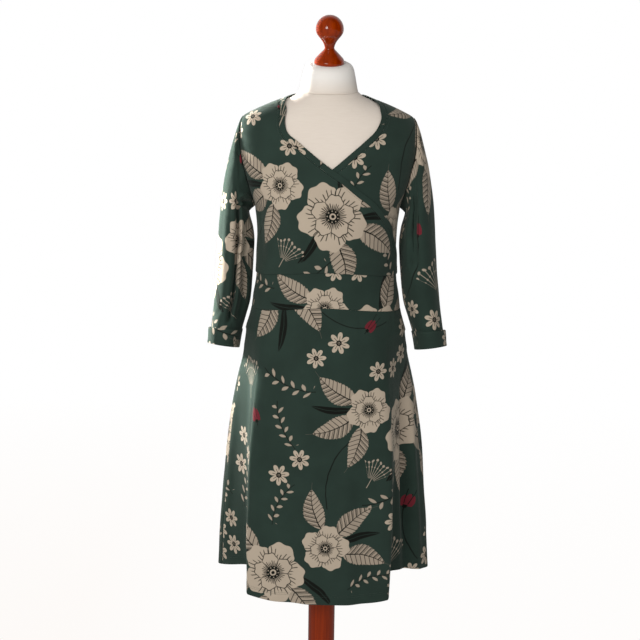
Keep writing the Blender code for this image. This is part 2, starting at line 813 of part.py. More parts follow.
def torso():
    heights = (0.823, 0.850, 0.880, 0.930, 0.980, 1.030, 1.070, 1.120, 1.170, 1.220, 1.250, 1.270, 1.290)
    heights += (1.310, 1.340, 1.370, 1.400, 1.415, 1.426, 1.437, 1.448, 1.458, 1.466, 1.473)
    tilt_from = 1.340
    rings = [form_ring(TORSO_FOOT, 0.0, 0.012, True)]
    for height in heights:
        slope = NECK_SEAM_SLOPE * ease((height - tilt_from) / (NECK_SEAM - tilt_from))
        rings.append(form_ring(height, slope, FORM_CLEARANCE, False))
    rings.append(form_ring(NECK_SEAM, NECK_SEAM_SLOPE, FORM_CLEARANCE, True))
    stack("form_torso", rings, COVER, 0.9)


def neck():
    foot = NECK_SEAM + SEAM_GAP * 1.2
    rings = []
    for height in (foot, 1.4855, 1.493, 1.503, 1.513, 1.521, 1.526, 1.5295, NECK_TOP):
        share = ease((height - foot) / (NECK_TOP - foot))
        tilt = mix(NECK_SEAM_SLOPE, NECK_TOP_SLOPE, share)
        ring = form_ring(height, NECK_SEAM_SLOPE * (1 - share), FORM_CLEARANCE, True)
        rings.append([(x, y, height + tilt * y) for x, y, z in ring])
    stack("form_neck", rings, COVER, 0.9)


def turned(name, profile, foot, slope, colour, roughness):
    """A closed solid turned about the pole's axis, leaning to stand square on a slope at its foot."""
    rings = []
    lean = math.atan(slope)
    angles = [2 * math.pi * k / TURNED_STEPS for k in range(TURNED_STEPS)]
    for row in profile:
        rings.append([])
        for angle in angles:
            x, y = row.radius * math.sin(angle), -row.radius * math.cos(angle)
            back = y * math.cos(lean) - row.height * math.sin(lean)
            up = y * math.sin(lean) + row.height * math.cos(lean)
            rings[-1].append((x, back, foot + up))
    return stack(name, rings, colour, roughness)


def finial():
    centre = FINIAL_HEIGHT - FINIAL_BALL_RADIUS
    profile = list(FINIAL_PROFILE)
    for k in range(7):
        angle = math.radians(mix(-2.0, 84.0, k / 6))
        radius = FINIAL_BALL_RADIUS * math.cos(angle)
        profile.append(ProfilePoint(radius, centre + FINIAL_BALL_RADIUS * math.sin(angle)))
    turned("finial", profile, NECK_TOP + SEAM_GAP * 1.1, NECK_TOP_SLOPE, MAHOGANY, 0.25)


def pole():
    bevel = 0.002
    top = TORSO_FOOT - SEAM_GAP - BASE_BOSS_TOP - SEAM_GAP
    profile = (
        ProfilePoint(POLE_RADIUS - bevel, 0.0),
        ProfilePoint(POLE_RADIUS, bevel),
        ProfilePoint(POLE_RADIUS, top - bevel),
        ProfilePoint(POLE_RADIUS - bevel, top),
    )
    turned("pole", profile, BASE_BOSS_TOP + SEAM_GAP, 0.0, MAHOGANY, 0.3)


# ---------------------------------------------------------------- the whole part


def main():
    for old in list(bpy.data.objects):
        bpy.data.objects.remove(old)

    front("bodice_front_over", "neckband_over", OVER_EDGE, over_lift, -1)
    front("bodice_front_under", "neckband_under", UNDER_EDGE, no_lift, 1)
    back()
    fold_columns = (-70.0, -64.0, 60.0, 66.0)
    for name, low, high, crowded in (("front", -90.0, 90.0, fold_columns), ("back", 90.0, 270.0, ())):
        midriff("midriff_" + name, low, high, crowded)
        skirt("skirt_" + name, low, high, crowded)

    for name, side, folds in (("right", -1, RIGHT_SLEEVE_FOLDS), ("left", 1, LEFT_SLEEVE_FOLDS)):
        cuff_shares = (SLEEVE_TURN_UP_SHARE, (1 + SLEEVE_TURN_UP_SHARE) / 2, 1.0)
        tube("sleeve_" + name, side, folds, SLEEVE_SHARES + cuff_shares, 0.0)
        tube("cuff_" + name, side, folds, cuff_shares, LAYER)

    torso()
    neck()
    finial()
    pole()
    turned("base", BASE_PROFILE, 0.0, 0.0, MAHOGANY, 0.3)


main()
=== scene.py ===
"""Knee-length jersey dress with a wrap-look bodice on a limbless dress form: cloth, print, stitches, wood.

Metres, +Z up, the front towards -Y. A turn is an angle about the pole's axis in degrees: 0 is centre front,
90 is the wearer's left (+X), 180 is centre back. Cloth coordinates are metres over the cloth, across and up.
"""

import ast
import math
from collections import namedtuple
from functools import partial
from inspect import cleandoc

import bpy
import numpy as np
from mathutils import Matrix, Vector


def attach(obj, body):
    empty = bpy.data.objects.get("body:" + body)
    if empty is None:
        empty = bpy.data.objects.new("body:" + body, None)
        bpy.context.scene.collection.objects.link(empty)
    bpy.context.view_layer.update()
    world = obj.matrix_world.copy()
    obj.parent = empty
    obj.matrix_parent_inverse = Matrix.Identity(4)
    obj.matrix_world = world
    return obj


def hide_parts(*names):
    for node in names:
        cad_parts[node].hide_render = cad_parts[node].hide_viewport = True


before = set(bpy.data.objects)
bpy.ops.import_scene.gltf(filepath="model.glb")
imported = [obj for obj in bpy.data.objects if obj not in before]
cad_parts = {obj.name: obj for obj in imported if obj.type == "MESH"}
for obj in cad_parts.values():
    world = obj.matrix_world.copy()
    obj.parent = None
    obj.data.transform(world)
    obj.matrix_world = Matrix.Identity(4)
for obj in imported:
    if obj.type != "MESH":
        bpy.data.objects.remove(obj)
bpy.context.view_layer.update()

# ---------------------------------------------------------------- sizes that the solids share

CLOTH = 0.0012
SEAM_GAP = 0.0003
LAYER = CLOTH + SEAM_GAP
WRAP_LIFT = 0.0026  # the over front above the under front
FORM_CLEARANCE = 0.0034
HALF_GAP_TURN = 0.06
BAND_WIDTH = 0.012
MIDRIFF_TOP, MIDRIFF_FOOT = 1.137, 1.0655
SIDE_DROP = 0.016
UNDERARM, SHOULDER_END = 1.254, 1.429
POLE_RADIUS = 0.0285
TORSO_FOOT = 0.817
NECK_SEAM, NECK_SEAM_SLOPE = 1.479, 0.12
NECK_TOP, NECK_TOP_SLOPE = 1.532, 0.28
FINIAL_HEIGHT = 0.0928
FINIAL_BALL_RADIUS = 0.0271
SLEEVE_TURN_UP_SHARE = 0.905
SLEEVE_SWAY = 0.0035
SLEEVE_SLANT = 0.20
FOOT, TOP, LEFT, RIGHT = range(4)  # the edges of a panel


def table(names, *rows):
    """The named columns of a table, each an array. Those marked mm are in millimetres, and kept in metres."""
    kind = namedtuple("Table", names.replace("_mm", ""))
    units = [1000 if name.endswith("_mm") else 1 for name in names.split()]
    return kind(*(np.array(rows, float) / units).T)


SHOULDER_ROWS = (
    (UNDERARM, 143.5, 132, 103, 2.3), (1.274, 149.5, 128, 106, 2.4), (1.294, 158, 123, 109, 2.5),
    (1.313, 165.5, 118, 111, 2.6), (1.342, 172, 109, 112, 2.65), (1.371, 175.2, 101, 109, 2.6),
    (1.399, 175.7, 92, 104, 2.45), (1.418, 172.5, 85, 98, 2.3), (SHOULDER_END, 166.5, 81, 94, 2.2),
    (1.4425, 142.5, 75, 88, 2.1), (1.4545, 116, 70, 82, 2.05), (1.469, 77.7, 62, 74, 2),
    (NECK_SEAM, 61.2, 58, 67, 2),
)
SECTION = "height half_width_mm front_mm back_mm square"
DRESS = table(
    SECTION,
    (0.434, 238.5, 156, 168, 2.3), (0.553, 235, 149, 161, 2.3), (0.662, 227, 144, 153, 2.2),
    (0.767, 215.3, 138, 145, 2.2), (0.854, 201.5, 133, 136, 2.1), (0.94, 179.3, 128, 122, 2.1),
    (0.99, 167, 122, 108, 2.1), (1.05, 150.2, 116, 91, 2.2), (1.076, 146.8, 113, 87, 2.2),
    (1.111, 140.8, 116, 86, 2.2), (1.156, 138.3, 125, 90, 2.3), (1.205, 139, 133, 95, 2.3), *SHOULDER_ROWS,
)
FORM = table(
    SECTION,
    (TORSO_FOOT, 146.6, 102, 112, 2.2), (0.88, 153, 107, 118, 2.2), (0.953, 146, 105, 109, 2.2),
    (1.025, 124, 98, 86, 2.2), (1.076, 112.4, 94, 75, 2.2), (1.126, 116.9, 101, 78, 2.2),
    (1.186, 129, 115, 87, 2.3), (1.225, 137.4, 126, 95, 2.3), *SHOULDER_ROWS, (1.489, 58.6, 56, 61, 2),
    (1.503, 55.9, 53, 56, 2), (1.517, 53, 50, 52, 2), (1.524, 50.8, 48, 49, 2), (1.5285, 47.5, 45, 46, 2),
    (NECK_TOP, 41.5, 40, 41, 2),
)
EDGE = "height turn"
OVER_EDGE = table(
    EDGE,
    (1.142, 90), (1.189, 68.7), (1.224, 57.9), (1.246, 49.1), (1.2735, 37.6), (1.2895, 29.1), (1.317, 15.1),
    (1.3325, 3.7), (1.3605, -15.8), (1.384, -31.6), (1.3985, -41.5), (1.413, -45.9), (1.4425, -52),
    (1.462, -68), (1.469, -90),
)
UNDER_EDGE = table(
    EDGE,
    (1.142, -90), (1.1995, -61.3), (1.251, -42.8), (1.287, -26.2), (1.314, -9.5), (1.3325, 3.7),
    (1.359, 20.6), (1.388, 38.4), (1.4055, 47.9), (1.425, 54.9), (1.442, 60.5), (1.4615, 73), (1.469, 90),
)
V_HEIGHT, V_TURN = 1.3325, 3.7
BACK_NECK = table("turn height", (90, 1.469), (110, 1.473), (140, 1.472), (180, 1.4675))
ARMHOLE = table(
    EDGE,
    (UNDERARM, 90), (1.276, 79), (1.298, 73.5), (1.319, 72), (1.346, 75.5), (1.374, 78.7), (1.402, 80.5),
    (1.416, 83.5), (SHOULDER_END, 90),
)
ARMHOLE_MIDDLE, ARMHOLE_HALF = (UNDERARM + SHOULDER_END) / 2, (SHOULDER_END - UNDERARM) / 2
SKIRT_FOLDS = table(
    "start turn_at_start turn_at_hem depth_at_hem_mm growth before after softness",
    (1.005, 74, 65, 72, 0.62, 21, 29, 0.62), (1.005, -77, -70, 68, 0.62, 27, 20.5, 0.62),
    (0.96, 96, 97, 14, 0.5, 8, 9, 1), (0.96, -98, -99, 12, 0.5, 9, 8, 1), (0.9, 24, 31, 6, 0.8, 13, 16, 1),
    (0.8, -18, -24, 5, 0.8, 12, 14, 1), (0.94, 138, 132, 34, 0.7, 15, 17, 1),
    (0.9, 166, 163, 20, 0.8, 12, 13, 1), (0.88, -168, -172, 17, 0.8, 12, 15, 1),
    (0.94, -141, -136, 36, 0.7, 17, 15, 1),
)
HEM = table(
    "turn height",
    (-180, 0.474), (-100, 0.475), (-68, 0.506), (-52, 0.475), (-30, 0.468), (0, 0.466), (32, 0.465),
    (46, 0.47), (64, 0.5), (100, 0.477), (180, 0.474),
)
SLEEVE = table(
    "share outer_x_mm outer_z inner_x_mm inner_z half_depth_mm",
    (0, 169.5, 1.429, 145.8, 1.254, 45), (0.08, 181.5, 1.399, 153.8, 1.247, 54),
    (0.16, 190.8, 1.367, 158.4, 1.24, 59), (0.25, 200.3, 1.328, 156, 1.229, 61),
    (0.35, 209, 1.279, 149.7, 1.208, 61), (0.45, 214.9, 1.227, 147.2, 1.182, 60),
    (0.55, 218.9, 1.174, 149, 1.149, 59), (0.65, 222.9, 1.121, 152, 1.109, 58),
    (0.75, 227.4, 1.072, 156.5, 1.068, 58), (0.85, 232.9, 1.026, 168.5, 1.025, 57),
    (0.92, 237.5, 0.996, 177.5, 0.994, 56), (1, 243.6, 0.97, 183, 0.961, 56),
)
SLEEVE_FOLD = "angle spread depth_mm start end"
SLEEVE_FOLDS = {
    "right": table(SLEEVE_FOLD, (99, 18, 24, 0.18, 0.905), (135, 36, 11, 0.22, 0.9), (261, 18, 10, 0.3, 0.9)),
    "left": table(SLEEVE_FOLD, (117, 18, 13, 0.1, 0.64), (279, 18, 11, 0.25, 0.9)),
}
SIDES = {"right": -1, "left": 1}
PROFILE = "radius_mm height_mm"
FINIAL = table(
    PROFILE,
    (28.4, 0), (29.3, 1), (29.3, 4.5), (28, 8), (24.8, 12), (20.7, 16.5), (15, 22.5), (10.7, 27), (9.4, 30),
    (10, 33.5), (12.7, 40.5), (17.5, 47.5), (22.8, 54), (26, 59.5),
)
BASE = table(
    PROFILE,
    (166, 0), (170, 4), (170, 16), (165, 21.5), (156, 24), (90, 30), (52, 38), (44, 46), (44, 56), (40, 62),
)

# ---------------------------------------------------------------- reading the tables


def smooth(xs, ys, x):
    """A curve through the points that never overshoots them, read at every x."""
    x = np.clip(np.asarray(x, float), xs[0], xs[-1])
    slopes = np.diff(ys) / np.diff(xs)
    below, above = slopes[:-1], slopes[1:]
    both = np.where(below + above == 0, 1, below + above)
    inside = np.where(below * above > 0, 2 * below * above / both, 0)
    leans = np.concatenate([slopes[:1], inside, slopes[-1:]])
    k = np.clip(np.searchsorted(xs, x, side="right") - 1, 0, len(xs) - 2)
    width = xs[k + 1] - xs[k]
    t = (x - xs[k]) / width
    rest = 1 - t
    return (
        ys[k] * (1 + 2 * t) * rest**2
        + ys[k + 1] * (1 + 2 * rest) * t**2
        + (leans[k] * rest - leans[k + 1] * t) * width * t * rest
    )


def ease(t):
    t = np.clip(t, 0.0, 1.0)
    return t * t * (3 - 2 * t)


def mix(a, b, share):
    return a + (b - a) * share


def signed(turn):
    return (turn + 180.0) % 360.0 - 180.0


def unit(a):
    return a / np.maximum(np.linalg.norm(a, axis=-1, keepdims=True), 1e-12)


def travelled(spots, axis=0):
    """Metres along each line of spots from its first one."""
    steps = np.diff(spots, axis=axis, prepend=spots.take([0], axis))
    return np.linalg.norm(steps, axis=-1).cumsum(axis)


def joined(*parts):
    """Points from their coordinates."""
    return np.stack(np.broadcast_arrays(*parts), -1)


def sampled(run, path, at):
    """A run of points that lie at the places of a path, read at others."""
    return joined(*(np.interp(at, path, part) for part in run.T))


# ---------------------------------------------------------------- the figure and the cloth on it


def about_pole(radius, turn, height):
    angle = np.radians(turn)
    return joined(radius * np.sin(angle), -radius * np.cos(angle), height)


def reach(sections, turn, height):
    angle = np.radians(turn)
    across, ahead = np.abs(np.sin(angle)), np.cos(angle)
    half_width, front, rear, square = (smooth(sections.height, part, height) for part in sections[1:])
    depth = np.where(ahead > 0, front, rear)
    return ((across / half_width) ** square + (np.abs(ahead) / depth) ** square) ** (-1 / square)


def skirt_fold(turn, height):
    depth = 0.0
    for start, at_start, at_hem, deep, growth, before, after, softness in zip(*SKIRT_FOLDS):
        grown = np.maximum(0.0, start - height) / (start - DRESS.height[0])
        away = signed(turn - mix(at_start, at_hem, grown))
        away = np.clip(away / np.where(away < 0, before, after), -1, 1)
        depth = depth + deep * grown**growth * (0.5 * (1 + np.cos(np.pi * away))) ** softness
    return depth


def dress_point(turn, height):
    """The inner face of the dress's lowest layer."""
    turn, height = np.broadcast_arrays(np.asarray(turn, float), np.asarray(height, float))
    return about_pole(reach(DRESS, turn, height) - skirt_fold(turn, height), turn, height)


def facing(surface, a, b, step_a, step_b):
    """The direction across a surface given by two numbers, a then b turning to the outward side."""
    along_a = surface(a + step_a, b) - surface(a - step_a, b)
    along_b = surface(a, b + step_b) - surface(a, b - step_b)
    return unit(np.cross(along_a, along_b))


def dress_out(turn, height):
    return facing(dress_point, turn, height, 0.5, 0.0005)


def over_lift(turn, height):
    fade = 0.045
    hidden = UNDER_EDGE.height <= V_HEIGHT
    edge = smooth(UNDER_EDGE.turn[hidden], UNDER_EDGE.height[hidden], turn)
    edge = np.where(turn < V_TURN, edge, V_HEIGHT)
    return WRAP_LIFT * ease((edge + fade - height) / fade)


def no_lift(_turn, _height):
    return 0.0


def seam_height(base, turn):
    return base - SIDE_DROP * ease(np.abs(signed(turn)) / 90.0)


BODICE_FOOT = seam_height(MIDRIFF_TOP, 90.0) + SEAM_GAP

# ---------------------------------------------------------------- the cloth's own coordinates

TURNS = np.linspace(-100.0, 280.0, 761)
HEIGHTS = np.linspace(DRESS.height[0] - 0.004, DRESS.height[-1], 260)


def measured(surface, columns, rows):
    """Metres over a surface at every column and row: across from column 0, and up from the first row."""
    spots = surface(columns, rows[:, None])
    across = travelled(spots, 1)
    across -= across[:, [np.argmin(np.abs(columns))]]
    return joined(across, travelled(spots))


MEASURED = measured(dress_point, TURNS, HEIGHTS)


def read(values, columns, rows, x, y):
    """A table of evenly spaced columns and rows, read at every x and y."""
    column = np.clip((x - columns[0]) / (columns[1] - columns[0]), 0, len(columns) - 1.001)
    row = np.clip((y - rows[0]) / (rows[1] - rows[0]), 0, len(rows) - 1.001)
    left, low = column.astype(int), row.astype(int)
    right_share, high_share = (column - left)[..., None], (row - low)[..., None]
    bottom = mix(values[low, left], values[low, left + 1], right_share)
    top = mix(values[low + 1, left], values[low + 1, left + 1], right_share)
    return mix(bottom, top, high_share)


over_dress = partial(read, MEASURED, TURNS, HEIGHTS)  # from a turn and a height to cloth coordinates


def waves(cloth, size, seed):
    """A soft unevenness from -1 to 1, from a few long waves that cross each other."""
    dice = np.random.default_rng(seed)
    total = 0.0
    for _ in range(6):
        heading = dice.uniform(0, 2 * math.pi)
        length = size * dice.uniform(0.7, 1.5)
        start = dice.uniform(0, 6.3)
        along = cloth[..., 0] * math.cos(heading) + cloth[..., 1] * math.sin(heading)
        total = total + np.sin(2 * math.pi * along / length + start)
    return total / 6


def creased(cloth, place, creases):
    """How far the creases lift the cloth, each a soft ridge or trough along a bowed line between two ends."""
    lift = np.zeros(cloth.shape[:-1])
    starts, ends = place(*creases[:2]), place(*creases[2:4])
    for start, end, bow, width, rise in zip(starts, ends, *creases[4:]):
        chord = end - start
        size = np.linalg.norm(chord)
        from_start = cloth - start
        t = from_start @ chord / size**2
        aside = (from_start[..., 0] * chord[1] - from_start[..., 1] * chord[0]) / size
        inside = np.clip(t, 0.0, 1.0)
        away = (aside - bow * 4 * inside * (1 - inside)) / width
        lift += rise * np.exp(-(away**2)) * np.sin(np.pi * inside) ** 0.8
    return lift


CREASE = "from_turn from_height to_turn to_height bow_mm width_mm rise_mm"
DRESS_CREASES = table(
    CREASE,
    # the bodice, drawn in towards the underarms and the crossing of the fronts
    (-84, 1.269, -50, 1.245, 6, 7.5, -1.6), (-82, 1.249, -46, 1.22, 8, 9, 1.2),
    (-63, 1.269, -61, 1.146, 3, 8, -2.4), (-54, 1.265, -53, 1.151, -3, 9, 2.2),
    (-74, 1.228, -66, 1.134, -4, 7, -1.2), (83, 1.27, 52, 1.257, -5, 7, -1.5),
    (84, 1.246, 40, 1.236, -7, 9.5, 1.2), (66, 1.241, 60, 1.14, -4, 8.5, -1.4),
    (30, 1.244, 12, 1.292, 5, 8, -1), (-24, 1.179, -6, 1.272, -6, 11, 1), (18, 1.147, 22, 1.205, 3, 9, 0.9),
    (-40, 1.409, -62, 1.305, 7, 8.5, -1.1), (48, 1.404, 66, 1.313, -6, 8, -1.2),
    # the midriff, pressed into short level creases
    (-70, 1.106, -38, 1.108, 2, 5.5, -0.9), (-30, 1.092, 4, 1.089, -2, 6, 0.8),
    (34, 1.114, 72, 1.107, -2, 5.5, -0.9), (50, 1.079, 80, 1.074, 2, 5, 0.8),
    # the skirt's long soft flutes, and short puckers under its seam
    (-44, 1.04, -49, 0.509, 10, 19, 3.4), (-32, 1.01, -35, 0.559, -8, 16, -2.4),
    (-15, 0.978, -12, 0.485, 12, 25, 2.8), (6, 1.039, 9, 0.608, -10, 22, -2.2),
    (20, 0.926, 24, 0.472, 6, 20, 3), (44, 1.042, 47, 0.488, -9, 18, 3.4),
    (56, 1.008, 55, 0.529, 5, 12, -2.2), (-58, 0.997, -59, 0.55, 4, 11, -2.2),
    (-88, 0.902, -88, 0.503, 4, 13, 2.8), (76.5, 0.93, 77.5, 0.43, -3, 13, -19),
    (84.5, 0.883, 85, 0.43, 4, 9, 6.2), (-52, 1.056, -50, 1.005, 1, 5, -1),
    (-21, 1.06, -22, 1.019, 0, 4.5, -0.8), (31, 1.06, 33, 1.005, 1, 5, -1),
    (63, 1.054, 62, 1.01, 0, 4.5, -0.9),
    # the back, much as the front
    (98, 1.266, 128, 1.23, -6, 8, -1.5), (262, 1.264, 226, 1.223, 6, 8.5, -1.4),
    (118, 1.399, 106, 1.303, -5, 8.5, -1.2), (243, 1.404, 256, 1.313, 5, 8, -1.1),
    (150, 1.196, 146, 1.126, 4, 9, -1.3), (204, 1.22, 210, 1.124, -4, 9.5, -1.4),
    (176, 1.166, 178, 1.124, 2, 8, 1), (112, 1.094, 150, 1.087, 2, 5.5, -0.9),
    (205, 1.078, 244, 1.086, -2, 6, -0.9), (116, 1.005, 112, 0.513, 7, 16, 3.2),
    (149, 0.994, 147, 0.502, -8, 17, 3), (179, 0.964, 182, 0.491, 9, 20, 3),
    (206, 1, 209, 0.496, -7, 17, 3.1), (247, 1.01, 251, 0.513, 6, 16, 3.2),
)
SLEEVE_CREASES = {
    # turn 0 is the sleeve's outer side, 90 its front, 180 the side next to the body and -90 its back, and
    # a height is a share of its length, from the shoulder
    "right": table(
        CREASE,
        (90, 0.19, 117, 0.92, 2, 5.2, -8), (74, 0.18, 100, 0.9, 2, 7, 3.2),
        (44, 0.3, 50, 0.8, -4, 10, -1.4), (86, 0.262, 150, 0, 0, 4.6, 6.6),
        (88, 0.312, 152, 0.057, 0, 5, -10.5), (118, 0.3, 150, 0.36, 6, 7, -1.4),
        (112, 0.44, 152, 0.5, 7, 8, -1.6), (106, 0.56, 148, 0.6, 6, 7.5, -1.4),
        (30, 0.86, 74, 0.78, -6, 7, -1.2), (-30, 0.12, -18, 0.46, 4, 11, 1.4),
        (-128, 0.4, -60, 0.46, 6, 8, -1.3), (-138, 0.55, -78, 0.58, 7, 8, -1.3),
    ),
    "left": table(
        CREASE,
        (98, 0.08, 93, 0.7, 2, 8.5, -7.5), (119, 0.08, 112, 0.66, 2, 8.5, 7),
        (66, 0.16, 78, 0.52, -5, 11, 1.8), (36, 0.22, 44, 0.6, 4, 12, -1.2),
        (120, 0.28, 158, 0.33, 6, 7, -1.4), (116, 0.42, 160, 0.47, 7, 8, -1.4),
        (110, 0.54, 150, 0.6, 6, 8, -1.3), (60, 0.68, 96, 0.78, 6, 9, -1.1),
        (-14, 0.14, -20, 0.48, 4, 11, 1.3), (-124, 0.42, -64, 0.47, 6, 8, -1.3),
        (-134, 0.58, -76, 0.6, 7, 8, -1.3),
    ),
}


UNEVEN_WHERE_HELD, UNEVEN_WHERE_HUNG = 0.0003, 0.0009


def dress_relief(turn, height):
    """How far the dress stands out at a spot for its creases and its slight unevenness."""
    cloth = over_dress(turn, height)
    hanging = ease((MIDRIFF_FOOT - height) / 0.25)
    uneven = waves(cloth, 0.09, 3) * mix(UNEVEN_WHERE_HELD, UNEVEN_WHERE_HUNG, hanging)
    return creased(cloth, over_dress, DRESS_CREASES) + uneven


# ---------------------------------------------------------------- the sleeves

ARMHOLE_GAP = 0.0005
BLENDED_SHARE = 0.16  # over this much of its length, a sleeve turns from the armhole's line into a tube
SLEEVE_LENGTH = 0.5
SLEEVE_UNEVEN = 0.0005
FOLD_SWELLS, FOLD_FADES = 0.3, 0.12  # shares of a fold's length, from the shoulder
CREASES_START, CREASES_STOP = 0.05, 12.0  # a share off the armhole, and degrees off the underarm seam
CUFF_STANDS_OFF = 0.002
CUFF_STANDS_MOST_AT = 45.0


def armhole_point(angle, side):
    height = ARMHOLE_MIDDLE + ARMHOLE_HALF * np.cos(np.radians(angle))
    turn = smooth(ARMHOLE.height, ARMHOLE.turn, height)
    turn = np.where(angle % 360.0 > 180.0, 180.0 - turn, turn) * side
    gap = np.array([ARMHOLE_GAP * side, 0.0, 0.0])
    return dress_point(turn, height) + dress_out(turn, height) * LAYER + gap


def sleeve_fold(folds, angle, share):
    depth = 0.0
    for at, spread_over, deep, start, end in zip(*folds):
        away = np.clip(signed(angle - at) / spread_over, -1, 1)
        length_share = (share - start) / (end - start)
        swell = ease(length_share / FOLD_SWELLS) * ease((1 - length_share) / FOLD_FADES)
        depth = depth + deep * swell * 0.5 * (1 + np.cos(np.pi * away))
    return depth


def sleeve_point(name, angle, share):
    """The inner face of a sleeve, at an angle about it and a share of its length."""
    side = SIDES[name]
    angle, share = np.broadcast_arrays(np.asarray(angle, float), np.asarray(share, float))
    parts = (smooth(SLEEVE.share, part, share) for part in SLEEVE[1:])
    outer_x, outer_z, inner_x, inner_z, half_depth = parts
    cosine, sine = np.cos(np.radians(angle)), np.sin(np.radians(angle))
    half_x, half_z = (outer_x - inner_x) / 2, (outer_z - inner_z) / 2
    around = np.hypot(np.hypot(half_x, half_z) * cosine, half_depth * sine)
    size = 1 - sleeve_fold(SLEEVE_FOLDS[name], angle, share) / around
    front = half_depth * sine * size
    x = ((outer_x + inner_x) / 2 + half_x * cosine * size) * side + SLEEVE_SWAY * ease((share - 0.5) / 0.5)
    z = (outer_z + inner_z) / 2 + half_z * cosine * size + front * SLEEVE_SLANT * ease(share)
    loop_x = mix(SLEEVE.inner_x[0], SLEEVE.outer_x[0], (1 + cosine) / 2) * side
    loop_z = mix(SLEEVE.inner_z[0], SLEEVE.outer_z[0], (1 + cosine) / 2)
    loop = joined(loop_x, -SLEEVE.half_depth[0] * sine, loop_z)
    fade = (1 - ease(share / BLENDED_SHARE))[..., None]
    return joined(x, -front, z) + (armhole_point(angle, side) - loop) * fade


ANGLES, SHARES = np.linspace(-180.0, 180.0, 145), np.linspace(0.0, 1.0, 101)


def sleeve_shell(name, low, high, rows, lift, edges):
    """A sleeve, or its cuff, from the share nearest the hand up to the one nearest the shoulder."""
    side, point = SIDES[name], partial(sleeve_point, name)
    over_sleeve = measured(point, ANGLES, SHARES) * (side, -1)
    over_sleeve[..., 1] -= over_sleeve[-1:, :, 1]
    place = partial(read, over_sleeve, ANGLES, SHARES)

    angles = ANGLES[::-side]
    shares = mix(high, low, spread(rows, (high - low) * SLEEVE_LENGTH))[:, None]
    spots = point(angles, shares)
    out = facing(point, angles, shares, 1.0, 0.004) * side
    cloth = place(angles, shares)
    relief = creased(cloth, place, SLEEVE_CREASES[name]) + waves(cloth, 0.08, 5 + side) * SLEEVE_UNEVEN
    relief = relief * ease(shares / CREASES_START) * ease((180.0 - np.abs(angles)) / CREASES_STOP)
    if low > 0.0:  # a turned-up cuff stands off the sleeve along its top
        off = CUFF_STANDS_OFF * (1.0 + np.cos(np.radians(angles - CUFF_STANDS_MOST_AT)))
        relief = relief + off * ease((high - shares) / (high - low))
    return spots + out * (lift + relief)[..., None], out, cloth, (*edges, None, None)


# ---------------------------------------------------------------- grids over the dress


def spread(count, length, near=(0.0010, 0.0022, 0.0040)):
    """Shares of a length from 0 to 1, close together near both ends, where the cloth turns in."""
    near = np.array(near) / length
    between = np.linspace(near[-1], 1 - near[-1], count)[1:-1]
    return np.concatenate([[0.0], near, between, 1 - near[::-1], [1.0]])


def edge_run(edge, count):
    """A front's free edge as (turn, height) points, at even distances over the cloth."""
    height = np.linspace(edge.height[0], edge.height[-1], 401)
    run = joined(smooth(edge.height, edge.turn, height), height)
    path = travelled(dress_point(*run.T))
    return sampled(run, path, np.linspace(0.0, path[-1], count))


def beside(run, distance, side):
    """The run moved over the cloth, 1 to the right of its direction and -1 to the left.

    Its two ends slide down the seams that they lie on.
    """
    turn, height = run.T
    here = dress_point(turn, height)
    padded = np.concatenate([here[:1], here, here[-1:]])
    sideways = unit(np.cross(padded[2:] - padded[:-2], dress_out(turn, height)))
    spot = here + sideways * distance * side
    moved_turn = turn + signed(np.degrees(np.arctan2(spot[:, 0], -spot[:, 1])) - turn)
    moved = joined(moved_turn, spot[:, 2])
    drop = np.linspace(0.0, 0.05, 501)
    for end in (0, -1):
        off = np.abs((dress_point(turn[end], height[end] - drop) - here[end]) @ sideways[end])
        moved[end] = turn[end], height[end] - np.interp(distance, off, drop)
    return moved


def within(run, low, high):
    """The run kept just inside the seams at two turns."""
    kept = run.copy()
    kept[..., 0] = np.clip(run[..., 0], low + HALF_GAP_TURN, high - HALF_GAP_TURN)
    return kept


def ruled(left, right, rows, columns):
    """A grid of (turn, height) between two runs, at shares of their length and of the way across."""
    sides = [sampled(run, np.linspace(0.0, 1.0, len(run)), rows)[:, None] for run in (left, right)]
    return mix(*sides, columns[None, :, None])


FINER = 6  # rows of the shells for each row of the solids
ROWS_SIDE, ROWS_ARMHOLE, ROWS_BELOW, ROWS_SHOULDER = (n * FINER for n in (5, 10, 2, 4))
ROWS_OF_SOLID = 15
ROWS_RISEN = 4 / ROWS_OF_SOLID  # the lowest rows of a front follow the midriff's seam
ACROSS_BAND = spread(7, BAND_WIDTH, (0.0007, 0.0016))


def outer_boundary():
    """The side seam and the armhole, as (turn, height) on the +X side, from the midriff up."""
    armhole = ARMHOLE_MIDDLE - ARMHOLE_HALF * np.cos(np.pi * np.arange(ROWS_ARMHOLE + 1) / ROWS_ARMHOLE)
    height = np.concatenate([np.linspace(BODICE_FOOT, UNDERARM, ROWS_SIDE, endpoint=False), armhole])
    turn = np.where(height < UNDERARM, 90.0, smooth(ARMHOLE.height, ARMHOLE.turn, height))
    return joined(turn, height)


def band_seams(free, side):
    """The bodice's seam along a neckband, and the band's own a gap away, for the band's free edge."""
    return [beside(free, BAND_WIDTH - gap, side) for gap in (0.0, SEAM_GAP)]


